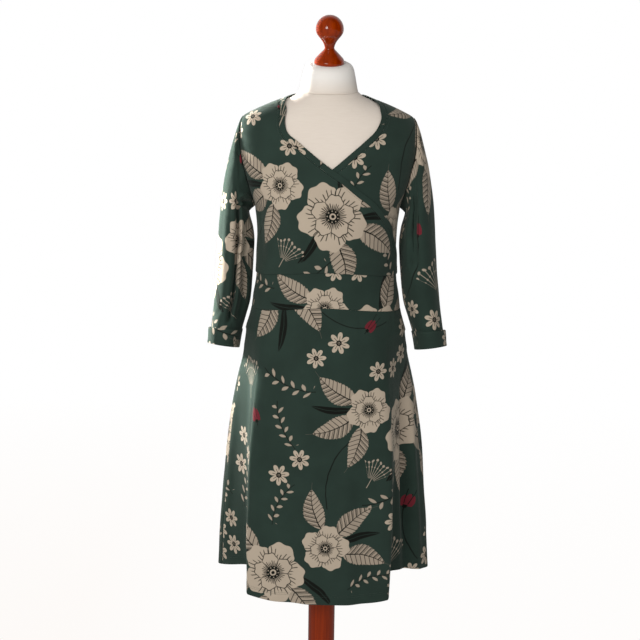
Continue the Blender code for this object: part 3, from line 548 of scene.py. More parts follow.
def front_grids(edge, own_side):
    """The grids of a front that wraps across the figure and of the band along its edge.

    own_side is 1 where its armhole is towards +X and -1 where it is towards -X.
    """
    rows = ROWS_SIDE + ROWS_ARMHOLE + 1
    free = edge_run(edge, rows - ROWS_BELOW)
    seam, band_seam = band_seams(free, own_side)
    below = np.linspace(BODICE_FOOT, seam[0, 1], ROWS_BELOW, endpoint=False)
    far = np.concatenate([joined(seam[0, 0], below), seam])
    own = outer_boundary() * (own_side, 1)
    # The runs of each grid, from its -X side to its +X side.
    panel, band = (
        [within(run, -90.0, 90.0) for run in pair][::own_side] for pair in ((far, own), (free, band_seam))
    )
    shares, columns = spread(rows, 0.36), spread(64, 0.26)
    grid = ruled(*panel, shares, columns)
    rise = seam_height(MIDRIFF_TOP, grid[..., 0]) - seam_height(MIDRIFF_TOP, 90.0)
    from_band = columns if own_side > 0 else 1 - columns
    held = mix(1.0, np.clip(4 * from_band, 0, 1), np.clip(shares * ROWS_OF_SOLID, 0, 1)[:, None])
    grid[..., 1] += rise * held * np.clip(1 - shares / ROWS_RISEN, 0, 1)[:, None]
    return grid, ruled(*band, spread(110, 0.40), ACROSS_BAND)


def back_grids():
    """The grids of the back bodice and of its neckband."""
    turn = np.linspace(90.0, 270.0, 109)
    free = joined(turn, smooth(BACK_NECK.turn, BACK_NECK.height, np.minimum(turn, 360.0 - turn)))
    seam, band_seam = band_seams(free, 1)
    band = mix(*(within(run, 90.0, 270.0)[None] for run in (band_seam, free)), ACROSS_BAND[:, None, None])
    shoulder = joined(90.0, np.linspace(SHOULDER_END, seam[0, 1], ROWS_SHOULDER + 1)[1:])
    left = within(np.concatenate([outer_boundary() * (-1, 1) + (180, 0), shoulder]), 90.0, 270.0)
    rows = len(left)
    shares, columns = spread(rows, 0.37), spread(100, 0.34)
    grid = ruled(left, left * (-1, 1) + (360, 0), shares, columns)
    rise = np.clip((shares * (rows - 1) - (rows - 1 - ROWS_SHOULDER)) / ROWS_SHOULDER, 0, 1)[:, None]
    seam_turn, seam_up = sampled(seam, np.linspace(0.0, 1.0, len(seam)), columns).T
    grid[..., 0] = mix(grid[..., 0], seam_turn, rise)
    grid[..., 1] += (seam_up - seam[0, 1]) * rise
    return within(grid, 90.0, 270.0), band


def level_grid(low, foot, top, rows, columns):
    """A grid over half a turn, from the height that foot gives at a turn to the one that top gives."""
    turn = mix(low + HALF_GAP_TURN, low + 180.0 - HALF_GAP_TURN, columns)
    return joined(turn, mix(foot(turn), top(turn), rows[:, None]))


SEAMED = ("seam", "seam", "seam", "seam")


def dress_shell(grid, lift=no_lift, edges=SEAMED):
    """A panel of the dress on its grid, with edges for its foot, top, left and right sides."""
    turn, height = grid[..., 0], grid[..., 1]
    out = dress_out(turn, height)
    base = dress_point(turn, height) + out * (lift(turn, height) + dress_relief(turn, height))[..., None]
    cloth = over_dress(turn, height)
    if turn.min() > 80.0:  # a back is cut with its print straight at centre back
        cloth[..., 0] -= over_dress(np.full_like(height, 180.0), height)[..., 0]
    return base, out, cloth, edges


# ---------------------------------------------------------------- the print

REPEAT = np.array([0.62, 0.60])
PLACING = "kind across_mm up_mm turn size_mm"
# Places within the cloth's repeat; size is half a motif's length. One table for each layer, the lowest first.
PRINT = {
    # 0 a sprig of lens leaves, 1 a bare stem, 2 a dark blade
    "stem": table(
        PLACING,
        (0, 372, 318, 205, 62), (0, 555, 58, 18, 60), (0, 170, 545, 158, 58), (0, 40, 300, 62, 55),
        (0, 572, 318, 118, 56), (0, 395, 120, 95, 52), (1, 275, 360, 70, 80), (1, 505, 205, 100, 75),
        (1, 85, 420, 85, 80), (1, 300, 70, 170, 70), (2, 60, 200, 168, 52), (2, 150, 48, 265, 50),
        (2, 225, 115, 318, 50), (2, 520, 425, 0, 50), (2, 455, 520, 75, 52), (2, 385, 372, 240, 48),
        (2, 258, 492, 176, 46), (2, 308, 222, 12, 50), (0, 165, 455, 112, 52), (0, 160, 292, 62, 50),
        (0, 338, 130, 14, 50),
    ),
    # a broad ribbed leaf
    "leaf": table(
        PLACING,
        (0, 50, 122, 196, 50), (0, 112, 62, 244, 46), (0, 200, 82, 306, 48), (0, 78, 228, 132, 47),
        (0, 302, 258, 38, 44), (0, 322, 182, 345, 45), (0, 226, 286, 104, 42), (0, 518, 380, 328, 50),
        (0, 522, 470, 22, 48), (0, 474, 520, 64, 46), (0, 446, 338, 282, 50), (0, 266, 528, 146, 44),
        (0, 258, 456, 202, 44), (0, 300, 412, 252, 42),
    ),
    # 0 a seven-petalled flower, 1 a crimson bud, 2 a seed head
    "small": table(
        PLACING,
        (0, 548, 132, 10, 23), (0, 594, 160, 50, 21), (0, 554, 182, 80, 21), (0, 590, 216, 20, 20),
        (0, 12, 343, 0, 22), (0, 58, 372, 33, 23), (0, 26, 406, 70, 20), (0, 192, 387, 15, 21),
        (0, 150, 352, 45, 22), (0, 392, 560, 25, 20), (0, 430, 582, 60, 21), (0, 458, 78, 12, 22),
        (0, 428, 36, 50, 21), (0, 602, 508, 30, 22), (0, 590, 458, 64, 20), (0, 386, 254, 20, 22),
        (0, 400, 211, 44, 19), (0, 560, 262, 5, 21), (0, 266, 20, 35, 22), (0, 346, 562, 55, 20),
        (0, 506, 106, 22, 19), (0, 222, 590, 40, 20), (1, 486, 262, 78, 22), (1, 98, 468, 112, 21),
        (1, 330, 52, 48, 20), (1, 560, 560, 96, 20), (2, 440, 168, 72, 42), (2, 60, 545, 100, 40),
        (2, 345, 362, 60, 30),
    ),
    "bloom": table(
        PLACING,
        (0, 140, 150, 20, 66), (0, 245, 205, 75, 49), (0, 430, 430, 0, 68), (0, 328, 486, 40, 47),
    ),
}
SLENDER = {"stem": 0.45, "leaf": 0.55, "small": 1.0, "bloom": 1.0}
NO_MOTIF = 9.0
INK_ENDS = 1.3  # how many times a motif's size its ink can lie from its middle


def turned_by(across, up, degrees):
    cosine, sine = np.cos(np.radians(degrees)), np.sin(np.radians(degrees))
    return across * cosine - up * sine, across * sine + up * cosine


def laid_print(corners, layer):
    """Where each face's corners lie in its nearest motif, in the motif's size, and the motif's kind."""
    motifs = PRINT[layer]
    centre = corners.mean(1)
    spots = joined(motifs.across, motifs.up)
    away = (centre[:, None] - spots + REPEAT / 2) % REPEAT - REPEAT / 2
    along, aside = turned_by(away[..., 0], away[..., 1], -motifs.turn)
    far = np.hypot(along, aside / SLENDER[layer]) / motifs.size
    nearest = far.argmin(1)
    middle = centre - np.take_along_axis(away, nearest[:, None, None], 1)[:, 0]
    from_middle = corners - middle[:, None]
    turn, size = motifs.turn[nearest][:, None], motifs.size[nearest][:, None]
    along, aside = turned_by(from_middle[..., 0], from_middle[..., 1], -turn)
    dice = np.random.default_rng(8).uniform(0.05, 0.95, len(motifs.kind))
    placed = joined(along / size, aside / size, (motifs.kind + dice)[nearest][:, None])
    placed[far.min(1) > INK_ENDS] = NO_MOTIF
    return placed


# ---------------------------------------------------------------- making a shell of cloth

SEAM_ROLL = (0.0030, 0.0008)  # over this much cloth, the face turns in this far towards a seam
FOLD_ROLL = (0.0014, 0.0005)  # the same at a folded edge, from both faces
MOST_SUNK = 0.0009
HEM_DEPTH = 0.020
HEM_THICKER, HEM_STEP = 0.0009, 0.002  # how much thicker a hem is, and the width of the step where it ends
HEM_GROOVE_AT, HEM_GROOVE = 0.018, (0.0022, 0.0003)  # its stitches draw in a groove this wide and this deep


def from_edges(spots):
    """Metres over the cloth from each point of a grid to its first row, last row, first and last column."""
    up, across = travelled(spots), travelled(spots, 1)
    return up, up[-1:] - up, across, across[:, -1:] - across


def two_faces(base, out, edges):
    """The outer and inner faces over a base grid: turned in at seams, round at folds and double at hems."""
    sunk, thick = np.zeros(base.shape[:2]), np.zeros(base.shape[:2])
    for gap, edge in zip(from_edges(base), edges):
        if edge == "seam":
            sunk += SEAM_ROLL[1] * np.clip(1 - gap / SEAM_ROLL[0], 0, 1) ** 2
        if edge in ("fold", "hem"):
            rounded = FOLD_ROLL[1] * np.clip(1 - gap / FOLD_ROLL[0], 0, 1) ** 2
            sunk, thick = sunk + rounded, thick - rounded
        if edge == "hem":
            thick += HEM_THICKER * ease((HEM_DEPTH + HEM_STEP / 2 - gap) / HEM_STEP)
            sunk += HEM_GROOVE[1] * np.exp(-(((gap - HEM_GROOVE_AT) / HEM_GROOVE[0]) ** 2))
    outer = base + out * (CLOTH - np.minimum(sunk, MOST_SUNK))[..., None]
    return outer, base - out * thick[..., None]


def squares_of(first, after):
    """Faces between the rows of two grids of point numbers, the second one step on along each row."""
    return np.stack([first[:-1], after[:-1], after[1:], first[1:]], -1).reshape(-1, 4)


def solid(name, points, faces, sharp):
    mesh = bpy.data.meshes.new(name)
    mesh.from_pydata(points.tolist(), [], faces)
    mesh.shade_smooth()
    mesh.set_sharp_from_angle(angle=math.radians(sharp))
    return mesh


def shell(name, base, out, cloth, edges, cut_at):
    """A piece of printed cloth as a closed thin wall. cut_at is where on the fabric the piece was cut."""
    outer, inner = two_faces(base, out, edges)
    rows, columns = base.shape[:2]
    closed = edges[LEFT] is None  # a sleeve closes on itself
    ring = columns - closed
    place = np.arange(rows * columns).reshape(rows, columns)
    point = (np.arange(rows)[:, None] * ring + np.arange(columns) % ring).ravel()
    squares = squares_of(place[:, :-1], place[:, 1:])
    runs = [(place[0, 1:], place[0, :-1]), (place[-1, :-1], place[-1, 1:])]
    if not closed:
        runs += [(place[:-1, 0], place[1:, 0]), (place[1:, -1], place[:-1, -1])]
    rims = np.concatenate([np.stack([first, second, second, first], -1) for first, second in runs])
    places = np.concatenate([squares, squares[:, ::-1], rims])
    inside = np.zeros(places.shape, int)
    inside[len(squares) : 2 * len(squares)] = 1
    inside[2 * len(squares) :, 2:] = 1
    points = np.concatenate([face[:, :ring].reshape(-1, 3) for face in (outer, inner)])
    mesh = solid(name, points, (point[places] + inside * rows * ring).tolist(), 50)

    corners = cloth.reshape(-1, 2)[places]
    mesh.uv_layers.new(name="cloth").data.foreach_set("uv", corners.ravel())
    mesh.uv_layers.new(name="OFBake").data.foreach_set("uv", unwrapped(corners, len(squares)).ravel())
    for layer in PRINT:
        placed = np.full((len(places), 4, 3), NO_MOTIF)
        placed[: len(squares)] = laid_print(corners[: len(squares)] + np.array(cut_at), layer)
        kept = mesh.attributes.new(layer, "FLOAT_VECTOR", "CORNER")
        kept.data.foreach_set("vector", placed.ravel())
    return mesh


def unwrapped(corners, printed):
    """The piece laid flat in a unit square: its printed face above, its plain face and rims below."""
    low, size = corners.min((0, 1)), np.ptp(corners, axis=(0, 1))
    flat = 0.01 + 0.98 * (corners - low) / size
    flat[:printed, :, 1] = 0.05 + 0.95 * flat[:printed, :, 1]
    flat[printed:, :, 1] = 0.04 * flat[printed:, :, 1]
    return flat


def placed_in_scene(name, data):
    made = bpy.data.objects.new(name, data)
    bpy.context.scene.collection.objects.link(made)
    return made


def finished(name, mesh, material):
    """The piece's object, at the origin."""
    mesh.materials.clear()
    mesh.materials.append(material)
    return placed_in_scene(name, mesh)


def ridden(name, mesh, material, slot, stands_for=None):
    """A piece on the part's one body, standing for one of its solids where it is given. Its slot is not used.
    """
    piece = finished(name, mesh, material)
    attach(piece, "root")
    if stands_for:
        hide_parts(stands_for)
    return piece


# ---------------------------------------------------------------- materials


def linear(colour):
    """A hex colour as the linear values that a shader takes."""
    parts = [int(colour[k : k + 2], 16) / 255 for k in (1, 3, 5)]
    return (*(p / 12.92 if p <= 0.04045 else ((p + 0.055) / 1.055) ** 2.4 for p in parts), 1.0)


def add(tree, kind, inputs=(), **settings):
    """Adds a node with its settings, and links its inputs or sets their values. A text is a hex colour."""
    node = tree.nodes.new(kind)
    for name, value in settings.items():
        setattr(node, name, value)
    for name, value in dict(inputs).items():
        if isinstance(value, bpy.types.NodeSocket):
            tree.links.new(value, node.inputs[name])
        else:
            node.inputs[name].default_value = linear(value) if isinstance(value, str) else value
    return node


SIGNS = {ast.Add: "ADD", ast.Sub: "SUBTRACT", ast.Mult: "MULTIPLY", ast.Div: "DIVIDE", ast.Pow: "POWER"}
WORDS = {
    "sqrt": "SQRT", "sin": "SINE", "cos": "COSINE", "atan2": "ARCTAN2", "abs": "ABSOLUTE", "floor": "FLOOR",
    "fract": "FRACT", "least": "MINIMUM", "most": "MAXIMUM", "below": "LESS_THAN",
}
SHARPNESS = 55.0  # how fast an edge of the print turns from one colour to the next, in motif sizes


def worked_out(tree, steps, **known):
    """The sockets of every named step of a drawing, each worked out from those before it."""

    def build(part):
        if isinstance(part, ast.Constant):
            return float(part.value)
        if isinstance(part, ast.Name):
            return known[part.id]
        if isinstance(part, ast.UnaryOp):
            return -build(part.operand)
        if isinstance(part, ast.BinOp):
            terms = [build(part.left), build(part.right)]
            return math_node(SIGNS[type(part.op)], terms)
        terms = [build(term) for term in part.args]
        if part.func.id == "edge":
            return math_node("MULTIPLY_ADD", [*terms, SHARPNESS, 0.5], use_clamp=True)
        return math_node(WORDS[part.func.id], terms)

    def math_node(operation, terms, **settings):
        inputs = dict(enumerate(terms))
        return add(tree, "ShaderNodeMath", inputs, operation=operation, **settings).outputs[0]

    for step in ast.parse(cleandoc(steps)).body:
        known[step.targets[0].id] = build(step.value)
    return known


def formula(tree, text, **known):
    """The socket that works out one sum from named sockets."""
    return worked_out(tree, "answer = " + text, **known)["answer"]


def dressed(tree, finish, colour, coats, bump=None, bump_depth=0.0, tone=None):
    """Ends a material in one Principled shader, with a bump from a height from 0 to 1.

    Its coats lie over the first colour in turn, each where its cover is 1, and a factor scales them all:
    painted shade in the hollows of a knit, with a slight random tone.
    """
    for cover, coat in coats:
        inputs = {0: cover, 6: colour, 7: coat}
        colour = add(tree, "ShaderNodeMix", inputs, data_type="RGBA").outputs[2]
    # Painted shade: the knit's hollows are darkened here, with a slight random tone.
    if tone is not None:
        colour = add(tree, "ShaderNodeVectorMath", {0: colour, 3: tone}, operation="SCALE").outputs[0]
    inputs = {**finish, "Base Color": colour}
    if bump is not None:
        raised = add(tree, "ShaderNodeBump", {"Strength": 1.0, "Distance": bump_depth, "Height": bump})
        inputs["Normal"] = raised.outputs[0]
    shader = add(tree, "ShaderNodeBsdfPrincipled", inputs)
    add(tree, "ShaderNodeOutputMaterial", {"Surface": shader.outputs[0]})


# The drawings of the print. x runs along a motif and y across it, and 1 is the motif's own size.
# r and a are the distance and the angle from its middle. Masks are 1 where the ink lies.
ROUND = """
r = sqrt(x * x + y * y)
a = atan2(y, x)
"""
BLOOM = ROUND + """
back = fract(a * 0.79577 + chance + 0.5) - 0.5
front = fract(a * 0.79577 + chance) - 0.5
ray = fract(a * 5.7296) - 0.5
uneven = abs(sin(a * 13.0))
outside = 0.64 + 0.34 * sqrt(cos(back * 3.1416)) - 0.03 * cos(back * 18.85)
inside = 0.36 + 0.24 * sqrt(cos(front * 3.1416)) - 0.02 * cos(front * 18.85)
petals = edge(outside - r)
front_line = edge(0.014 - abs(r - inside))
back_split = edge(0.012 - r * (0.5 - abs(back)) * 1.2566) * edge(r - inside)
front_split = edge(0.011 - r * (0.5 - abs(front)) * 1.2566) * edge(inside - r)
stroke = edge(0.0125 - r * abs(ray) * 0.17453)
shade = edge(inside + 0.07 + 0.15 * uneven - r) * edge(r - inside)
throat = edge(0.28 + 0.09 * uneven - r)
strokes = stroke * most(shade, throat)
eye = edge(0.205 + 0.014 * sin(a * 21.0) - r)
lines = most(most(front_line, eye), most(most(back_split, front_split), strokes))
dot = (fract(a * 1.4324) - 0.5) * 0.105
dots = edge(0.015 - sqrt(dot * dot + (r - 0.155) * (r - 0.155)))
heart = edge(0.095 - r) - edge(0.052 - r)
specks = most(dots, heart)
"""
LEAF = """
bent = y - 0.15 * (1.0 - x * x)
off = abs(bent)
tooth = fract(x * 6.5 + 0.3)
half = 0.47 * most(1.0 - x * x, 0.0) ** 0.8 * (1.0 - 0.30 * x) * (0.93 + 0.10 * tooth)
blade = edge(half - off)
rib = fract(x * 4.5 - off * 2.6)
ribs = edge(0.014 - least(rib, 1.0 - rib) * 0.19)
midrib = edge(0.021 - 0.010 * x - off)
stripe = abs(fract(x * 18.0 - off * 11.0) - 0.5)
hatch = edge(0.25 * below(0.0, bent) - 0.06 - stripe) * below(rib, 0.55)
lines = most(most(ribs, midrib), hatch)
"""
FLOWER = ROUND + """
petal = fract(a * 1.11408 + chance) - 0.5
tips = 0.28 + 0.70 * most(cos(petal * 3.1416), 0.0) ** 0.7
petals = edge(tips - r)
crease = edge(0.022 - r * abs(petal) * 0.8976) * below(r, 0.62)
middle = edge(0.25 - r) - edge(0.11 - r)
lines = most(crease, middle)
"""
BUD = """
belly = 0.52 * sqrt(most(1.0 - (x + 0.1) * (x + 0.1) * 1.6, 0.0)) - abs(y)
tip = 0.32 + 0.42 * abs(cos(y * 8.0)) - x
petals = edge(least(belly, tip)) * below(-0.55, x)
folds = edge(0.026 - abs(abs(y) - 0.17 - 0.10 * x)) * below(-0.35, x)
cup = edge(0.16 - abs(y)) * below(-0.72, x) * below(x, -0.42)
stalk = edge(0.035 - abs(y - 0.2 * (x + 0.7) * (x + 0.7))) * below(x, -0.6) * below(-1.0, x)
lines = most(most(folds, cup), stalk)
"""
SEED_HEAD = """
up = x + 0.95
long = sqrt(up * up + y * y)
swing = atan2(y, up)
spoke = fract(swing * 5.5 + 0.5) - 0.5
aside = long * spoke * 0.1818
fan = below(abs(swing), 0.72)
spokes = edge(0.016 - abs(aside)) * below(long, 1.55) * below(0.35, long) * fan
foot = edge(0.022 - abs(y)) * below(long, 0.36)
near = long - 1.55 - 0.10 * sin(swing * 9.0)
seeds = edge(0.085 - sqrt(aside * aside + near * near)) * fan
within = long - 1.12
small_seeds = edge(0.050 - sqrt(aside * aside + within * within)) * fan
ink = most(most(spokes, foot), most(seeds, small_seeds))
"""
SPRIG = """
bent = y - 0.22 * (1.0 - x * x)
side = below(0.0, bent) * 0.5
cell = fract(x * 2.6 + side + 0.2) - 0.5
away = abs(bent)
along = (cell * 0.3846 * 0.66 + away * 0.75) - 0.17
across = away * 0.66 - cell * 0.3846 * 0.75
leaves = edge(0.055 - along * along * 2.6 - abs(across)) * below(abs(x), 0.86)
stem = edge(0.014 - away) * below(abs(x), 0.98)
"""
STEM = "line = edge(0.013 - abs(y - 0.30 * (1.0 - x * x))) * below(abs(x), 0.98)"
BLADE = """
bent = abs(y - 0.12 * (1.0 - x * x))
blade = edge(0.15 * most(1.0 - x * x, 0.0) ** 0.9 - bent) - edge(0.010 - bent)
"""
BLACK, CREAM, GREY_CREAM, CRIMSON = "#10140f", "#bfb09d", "#ab9d8c", "#74242f"
# The inks in the order that they are laid: a layer, its kind of motif, the drawing, its masks and their inks.
INKS = (
    ("stem", 2, BLADE, (("blade", BLACK),)),
    ("stem", 1, STEM, (("line", BLACK),)),
    ("stem", 0, SPRIG, (("stem", BLACK), ("leaves", GREY_CREAM))),
    ("leaf", 0, LEAF, (("blade", GREY_CREAM), ("blade * lines", BLACK))),
    ("small", 2, SEED_HEAD, (("ink", GREY_CREAM),)),
    ("small", 1, BUD, (("petals", CRIMSON), ("lines", BLACK))),
    ("small", 0, FLOWER, (("petals", CREAM), ("petals * lines", BLACK))),
    ("bloom", 0, BLOOM, (("petals", CREAM), ("petals * lines", BLACK), ("specks", CREAM))),
)


def motif_place(tree, layer, **sway):
    """x, y, the kind and the chance of a print layer, swayed a little as a hand-drawn line is."""
    there = add(tree, "ShaderNodeAttribute", attribute_name=layer)
    x, y, kept = add(tree, "ShaderNodeSeparateXYZ", {0: there.outputs["Vector"]}).outputs[:3]
    steps = """
        x = x + sway_x
        y = y + sway_y
        kind = floor(kept)
        chance = kept - kind
    """
    return worked_out(tree, steps, x=x, y=y, kept=kept, **sway)


def printed_jersey(tree):
    """Viscose jersey, screen printed: a matt face with a soft bloom of light where its fibres stand up.

    The inks are cream, a greyer cream for the leaves, near-black and crimson, sunk into the cloth.
    """
    cloth = add(tree, "ShaderNodeUVMap", uv_map="cloth").outputs[0]
    sway = add(tree, "ShaderNodeTexNoise", {"Vector": cloth, "Scale": 38.0, "Detail": 1.0}).outputs["Color"]
    sway = add(tree, "ShaderNodeSeparateXYZ", {0: sway}).outputs
    sway_x, sway_y = (formula(tree, "(n - 0.5) * 0.07", n=n) for n in sway[:2])
    places = {layer: motif_place(tree, layer, sway_x=sway_x, sway_y=sway_y) for layer in PRINT}

    patchy = add(tree, "ShaderNodeTexNoise", {"Vector": cloth, "Scale": 14.0, "Detail": 4.0}).outputs["Fac"]
    coats = [(formula(tree, "(n - 0.35) * 1.6", n=patchy), "#2f423a")]
    for layer, kind, drawing, inks in INKS:
        drawn = worked_out(tree, drawing, **places[layer])
        for mask, ink in inks:
            cover = formula(tree, f"{mask} * below(abs(kind - {kind}), 0.5)", **drawn)
            coats.append((cover, ink))

    # A wale is 0.7 mm wide in cloth of this weight. It is drawn at 1.4 mm, so that a close view can show it.
    # Its high loops are painted lighter and its hollows darker, as painted shade, with a slight random tone
    # from the patches.
    knit = """
        wale = u / 0.0014
        course = v / 0.0012
        rib = abs(sin(wale * 3.1416))
        loop = 0.5 + 0.5 * sin((course + rib * 0.5) * 6.2832)
        height = rib * 0.6 + loop * 0.4
        tone = 0.90 + 0.14 * height + 0.10 * (patchy - 0.5)
    """
    u, v = add(tree, "ShaderNodeSeparateXYZ", {0: cloth}).outputs[:2]
    knit = worked_out(tree, knit, u=u, v=v, patchy=patchy)
    finish = {
        "Roughness": 0.88, "Specular IOR Level": 0.25, "Sheen Weight": 0.22, "Sheen Roughness": 0.45,
        "Sheen Tint": "#b9c4bb",
    }
    dressed(tree, finish, "#283831", coats, knit["height"], 0.00012, knit["tone"])


def form_cover(tree):
    """Plain cotton calico drawn over the form: chalky and closely woven, faintly slubbed."""
    place = add(tree, "ShaderNodeTexCoord").outputs["Object"]
    stretched = add(tree, "ShaderNodeMapping", {"Vector": place, "Scale": (1.0, 1.0, 6.0)}).outputs[0]
    slub = add(tree, "ShaderNodeTexNoise", {"Vector": stretched, "Scale": 60.0, "Detail": 3.0}).outputs["Fac"]
    soft = add(tree, "ShaderNodeTexNoise", {"Vector": place, "Scale": 9.0, "Detail": 2.0}).outputs["Fac"]
    x, y, z = add(tree, "ShaderNodeSeparateXYZ", {0: place}).outputs[:3]
    # Threads are 0.4 mm apart, drawn at 1.2 mm, and painted paler on their tops: painted light, with slubs
    # and soft patches that pale the cloth at random. Above its sloping seam the neck is painted whiter,
    # rising over 30 mm: painted light, brighter towards its top.
    weave = f"""
        around = atan2(x, 0.0 - y) * 0.09 / 0.0012
        up = z / 0.0012
        height = 0.5 + 0.25 * sin(around * 6.2832) + 0.25 * sin(up * 6.2832)
        share = 0.30 * height + 0.35 * slub + 0.35 * soft
        on_neck = least(most((z - {NECK_SEAM} - {NECK_SEAM_SLOPE} * y) / 0.030, 0.0), 1.0)
    """
    weave = worked_out(tree, weave, x=x, y=y, z=z, slub=slub, soft=soft)
    # Painted light: the paler coat partly lights the threads' tops, and the whitest coat lights the neck
    # above its seam.
    coats = ((weave["share"], "#f6ece1"), (weave["on_neck"], "#faf6f0"))
    finish = {"Roughness": 0.92, "Specular IOR Level": 0.2, "Sheen Weight": 0.15, "Sheen Roughness": 0.5}
    dressed(tree, finish, "#e2d5c7", coats, weave["height"], 0.00010)


def stained_wood(tree):
    """Turned hardwood, stained mahogany and varnished: red-brown, its grain seen through a bright gloss."""
    place = add(tree, "ShaderNodeTexCoord").outputs["Object"]
    # Pores are a fraction of a millimetre wide and some centimetres long, along the turned axis.
    drawn_out = add(tree, "ShaderNodeMapping", {"Vector": place, "Scale": (1.0, 1.0, 0.05)}).outputs[0]
    fine = {"Vector": drawn_out, "Scale": 900.0, "Detail": 3.0}
    broad = {"Vector": drawn_out, "Scale": 110.0, "Detail": 2.0, "Distortion": 0.6}
    pores, bands = (add(tree, "ShaderNodeTexNoise", grain).outputs["Fac"] for grain in (fine, broad))
    share = formula(tree, "(bands - 0.28) * 1.2 + (pores - 0.5) * 0.3", bands=bands, pores=pores)
    finish = {"Roughness": 0.45, "Specular IOR Level": 0.05, "Coat Weight": 0.8, "Coat Roughness": 0.08}
    dressed(tree, finish, "#7c2502", [(share, "#b84105")], pores, 0.00005)


def sewing_thread(tree):
    """Spun polyester thread, dyed to the ground: a dull shine along each stitch."""
    place = add(tree, "ShaderNodeTexCoord").outputs["Object"]
    uneven = add(tree, "ShaderNodeTexNoise", {"Vector": place, "Scale": 600.0, "Detail": 1.0}).outputs["Fac"]
    dressed(tree, {"Roughness": 0.55, "Sheen Weight": 0.1}, "#26352e", [(uneven, "#3d5147")])


def pale_floor(tree):
    """A studio's white sweep, so brightly lit that it meets the white behind it without a line."""
    place = add(tree, "ShaderNodeTexCoord").outputs["Object"]
    x, y = add(tree, "ShaderNodeSeparateXYZ", {0: place}).outputs[:2]
    warm = "least(most(1.0 - y / 3.0, 0.0), 1.0) * (0.16 + 0.5 * least(most(0.0 - x - 0.35, 0.0), 0.35))"
    inputs = {0: formula(tree, warm, x=x, y=y), 6: "#ffffff", 7: "#f9ece1"}
    colour = add(tree, "ShaderNodeMix", inputs, data_type="RGBA").outputs[2]
    path = add(tree, "ShaderNodeLightPath").outputs
    known = {"seen": path["Is Camera Ray"], "mirrored": path["Is Glossy Ray"]}
    strength = formula(tree, "0.42 + 0.58 * seen - 0.20 * mirrored", **known)
    glow = add(tree, "ShaderNodeEmission", {"Color": colour, "Strength": strength})
    add(tree, "ShaderNodeOutputMaterial", {"Surface": glow.outputs[0]})


def material(paint):
    """The material that a function paints, under the function's name."""
    made = bpy.data.materials.new(paint.__name__)
    made.use_nodes = True
    made.node_tree.nodes.clear()
    paint(made.node_tree)
    return made


PRINTED_JERSEY, FORM_COVER, STAINED_WOOD = map(material, (printed_jersey, form_cover, stained_wood))
SEWING_THREAD, PALE_FLOOR = map(material, (sewing_thread, pale_floor))

# ---------------------------------------------------------------- the pieces of the dress


def hem_height(turn):
    return smooth(HEM.turn, HEM.height, signed(turn))


under, under_band = front_grids(UNDER_EDGE, 1)
over, over_band = front_grids(OVER_EDGE, -1)
back, back_band = back_grids()
skirt_top, midriff_foot, midriff_top = (
    partial(seam_height, base) for base in (MIDRIFF_FOOT, MIDRIFF_FOOT + SEAM_GAP, MIDRIFF_TOP)
)
skirt = (hem_height, skirt_top, spread(112, 0.54), spread(190, 0.60))
midriff = (midriff_foot, midriff_top, spread(18, 0.07), spread(70, 0.38))
HEMMED = ("hem", "seam", "seam", "seam")
CUFF = (SLEEVE_TURN_UP_SHARE, 1.0, 14, LAYER, ("fold", "fold"))
WHOLE_SLEEVE = (0.0, 1.0, 140, 0.0, ("fold", "seam"))

WRAPPED = {
    "bodice_front_under": dress_shell(under),
    "neckband_under": dress_shell(under_band, edges=("seam", "seam", "fold", "seam")),
    "bodice_front_over": dress_shell(over, over_lift),
    "neckband_over": dress_shell(over_band, over_lift, ("seam", "seam", "seam", "fold")),
    "bodice_back": dress_shell(back),
    "neckband_back": dress_shell(back_band, edges=("seam", "fold", "seam", "seam")),
    "midriff_front": dress_shell(level_grid(-90.0, *midriff)),
    "midriff_back": dress_shell(level_grid(90.0, *midriff)),
    "skirt_front": dress_shell(level_grid(-90.0, *skirt), edges=HEMMED),
    "skirt_back": dress_shell(level_grid(90.0, *skirt), edges=HEMMED),
    "sleeve_right": sleeve_shell("right", *WHOLE_SLEEVE),
    "sleeve_left": sleeve_shell("left", *WHOLE_SLEEVE),
    "cuff_right": sleeve_shell("right", *CUFF),
    "cuff_left": sleeve_shell("left", *CUFF),
}
# Where each piece was cut from the printed cloth, the size that it was cut to, and its area in square metres.
CUTS = table(
    "across_mm up_mm width_mm length_mm area",
    (100, 20, 427, 425, 0.078), (300, 280, 15, 540, 0.0062), (420, 210, 435, 425, 0.0832),
    (520, 330, 15, 535, 0.0062), (200, 100, 425, 435, 0.1385), (50, 50, 262, 13, 0.0031),
    (330, 450, 385, 77, 0.029), (100, 300, 365, 73, 0.0263), (240, 50, 650, 600, 0.314),
    (500, 400, 700, 585, 0.333), (430, 270, 438, 470, 0.119), (400, 20, 438, 470, 0.1145),
    (430, 270, 290, 40, 0.0104), (400, 20, 290, 40, 0.0104),
)
pieces = {
    name: ridden(name + "_cloth", shell(name, *made, cut_at), PRINTED_JERSEY, "printed_jersey", name)
    for (name, made), *cut_at in zip(WRAPPED.items(), *CUTS[:2])
}

# ---------------------------------------------------------------- stitches

STITCH_SIZES = {"Pitch": 0.0030, "Stitch length": 0.0024, "Thread width": 0.00042}
THREAD_SHOWS = 0.00005  # the middle of the thread above the cloth
HEM_ROWS = (0.0165, 0.0200)
NECK_ROW = 0.0045
CUFF_ROW = 0.0028


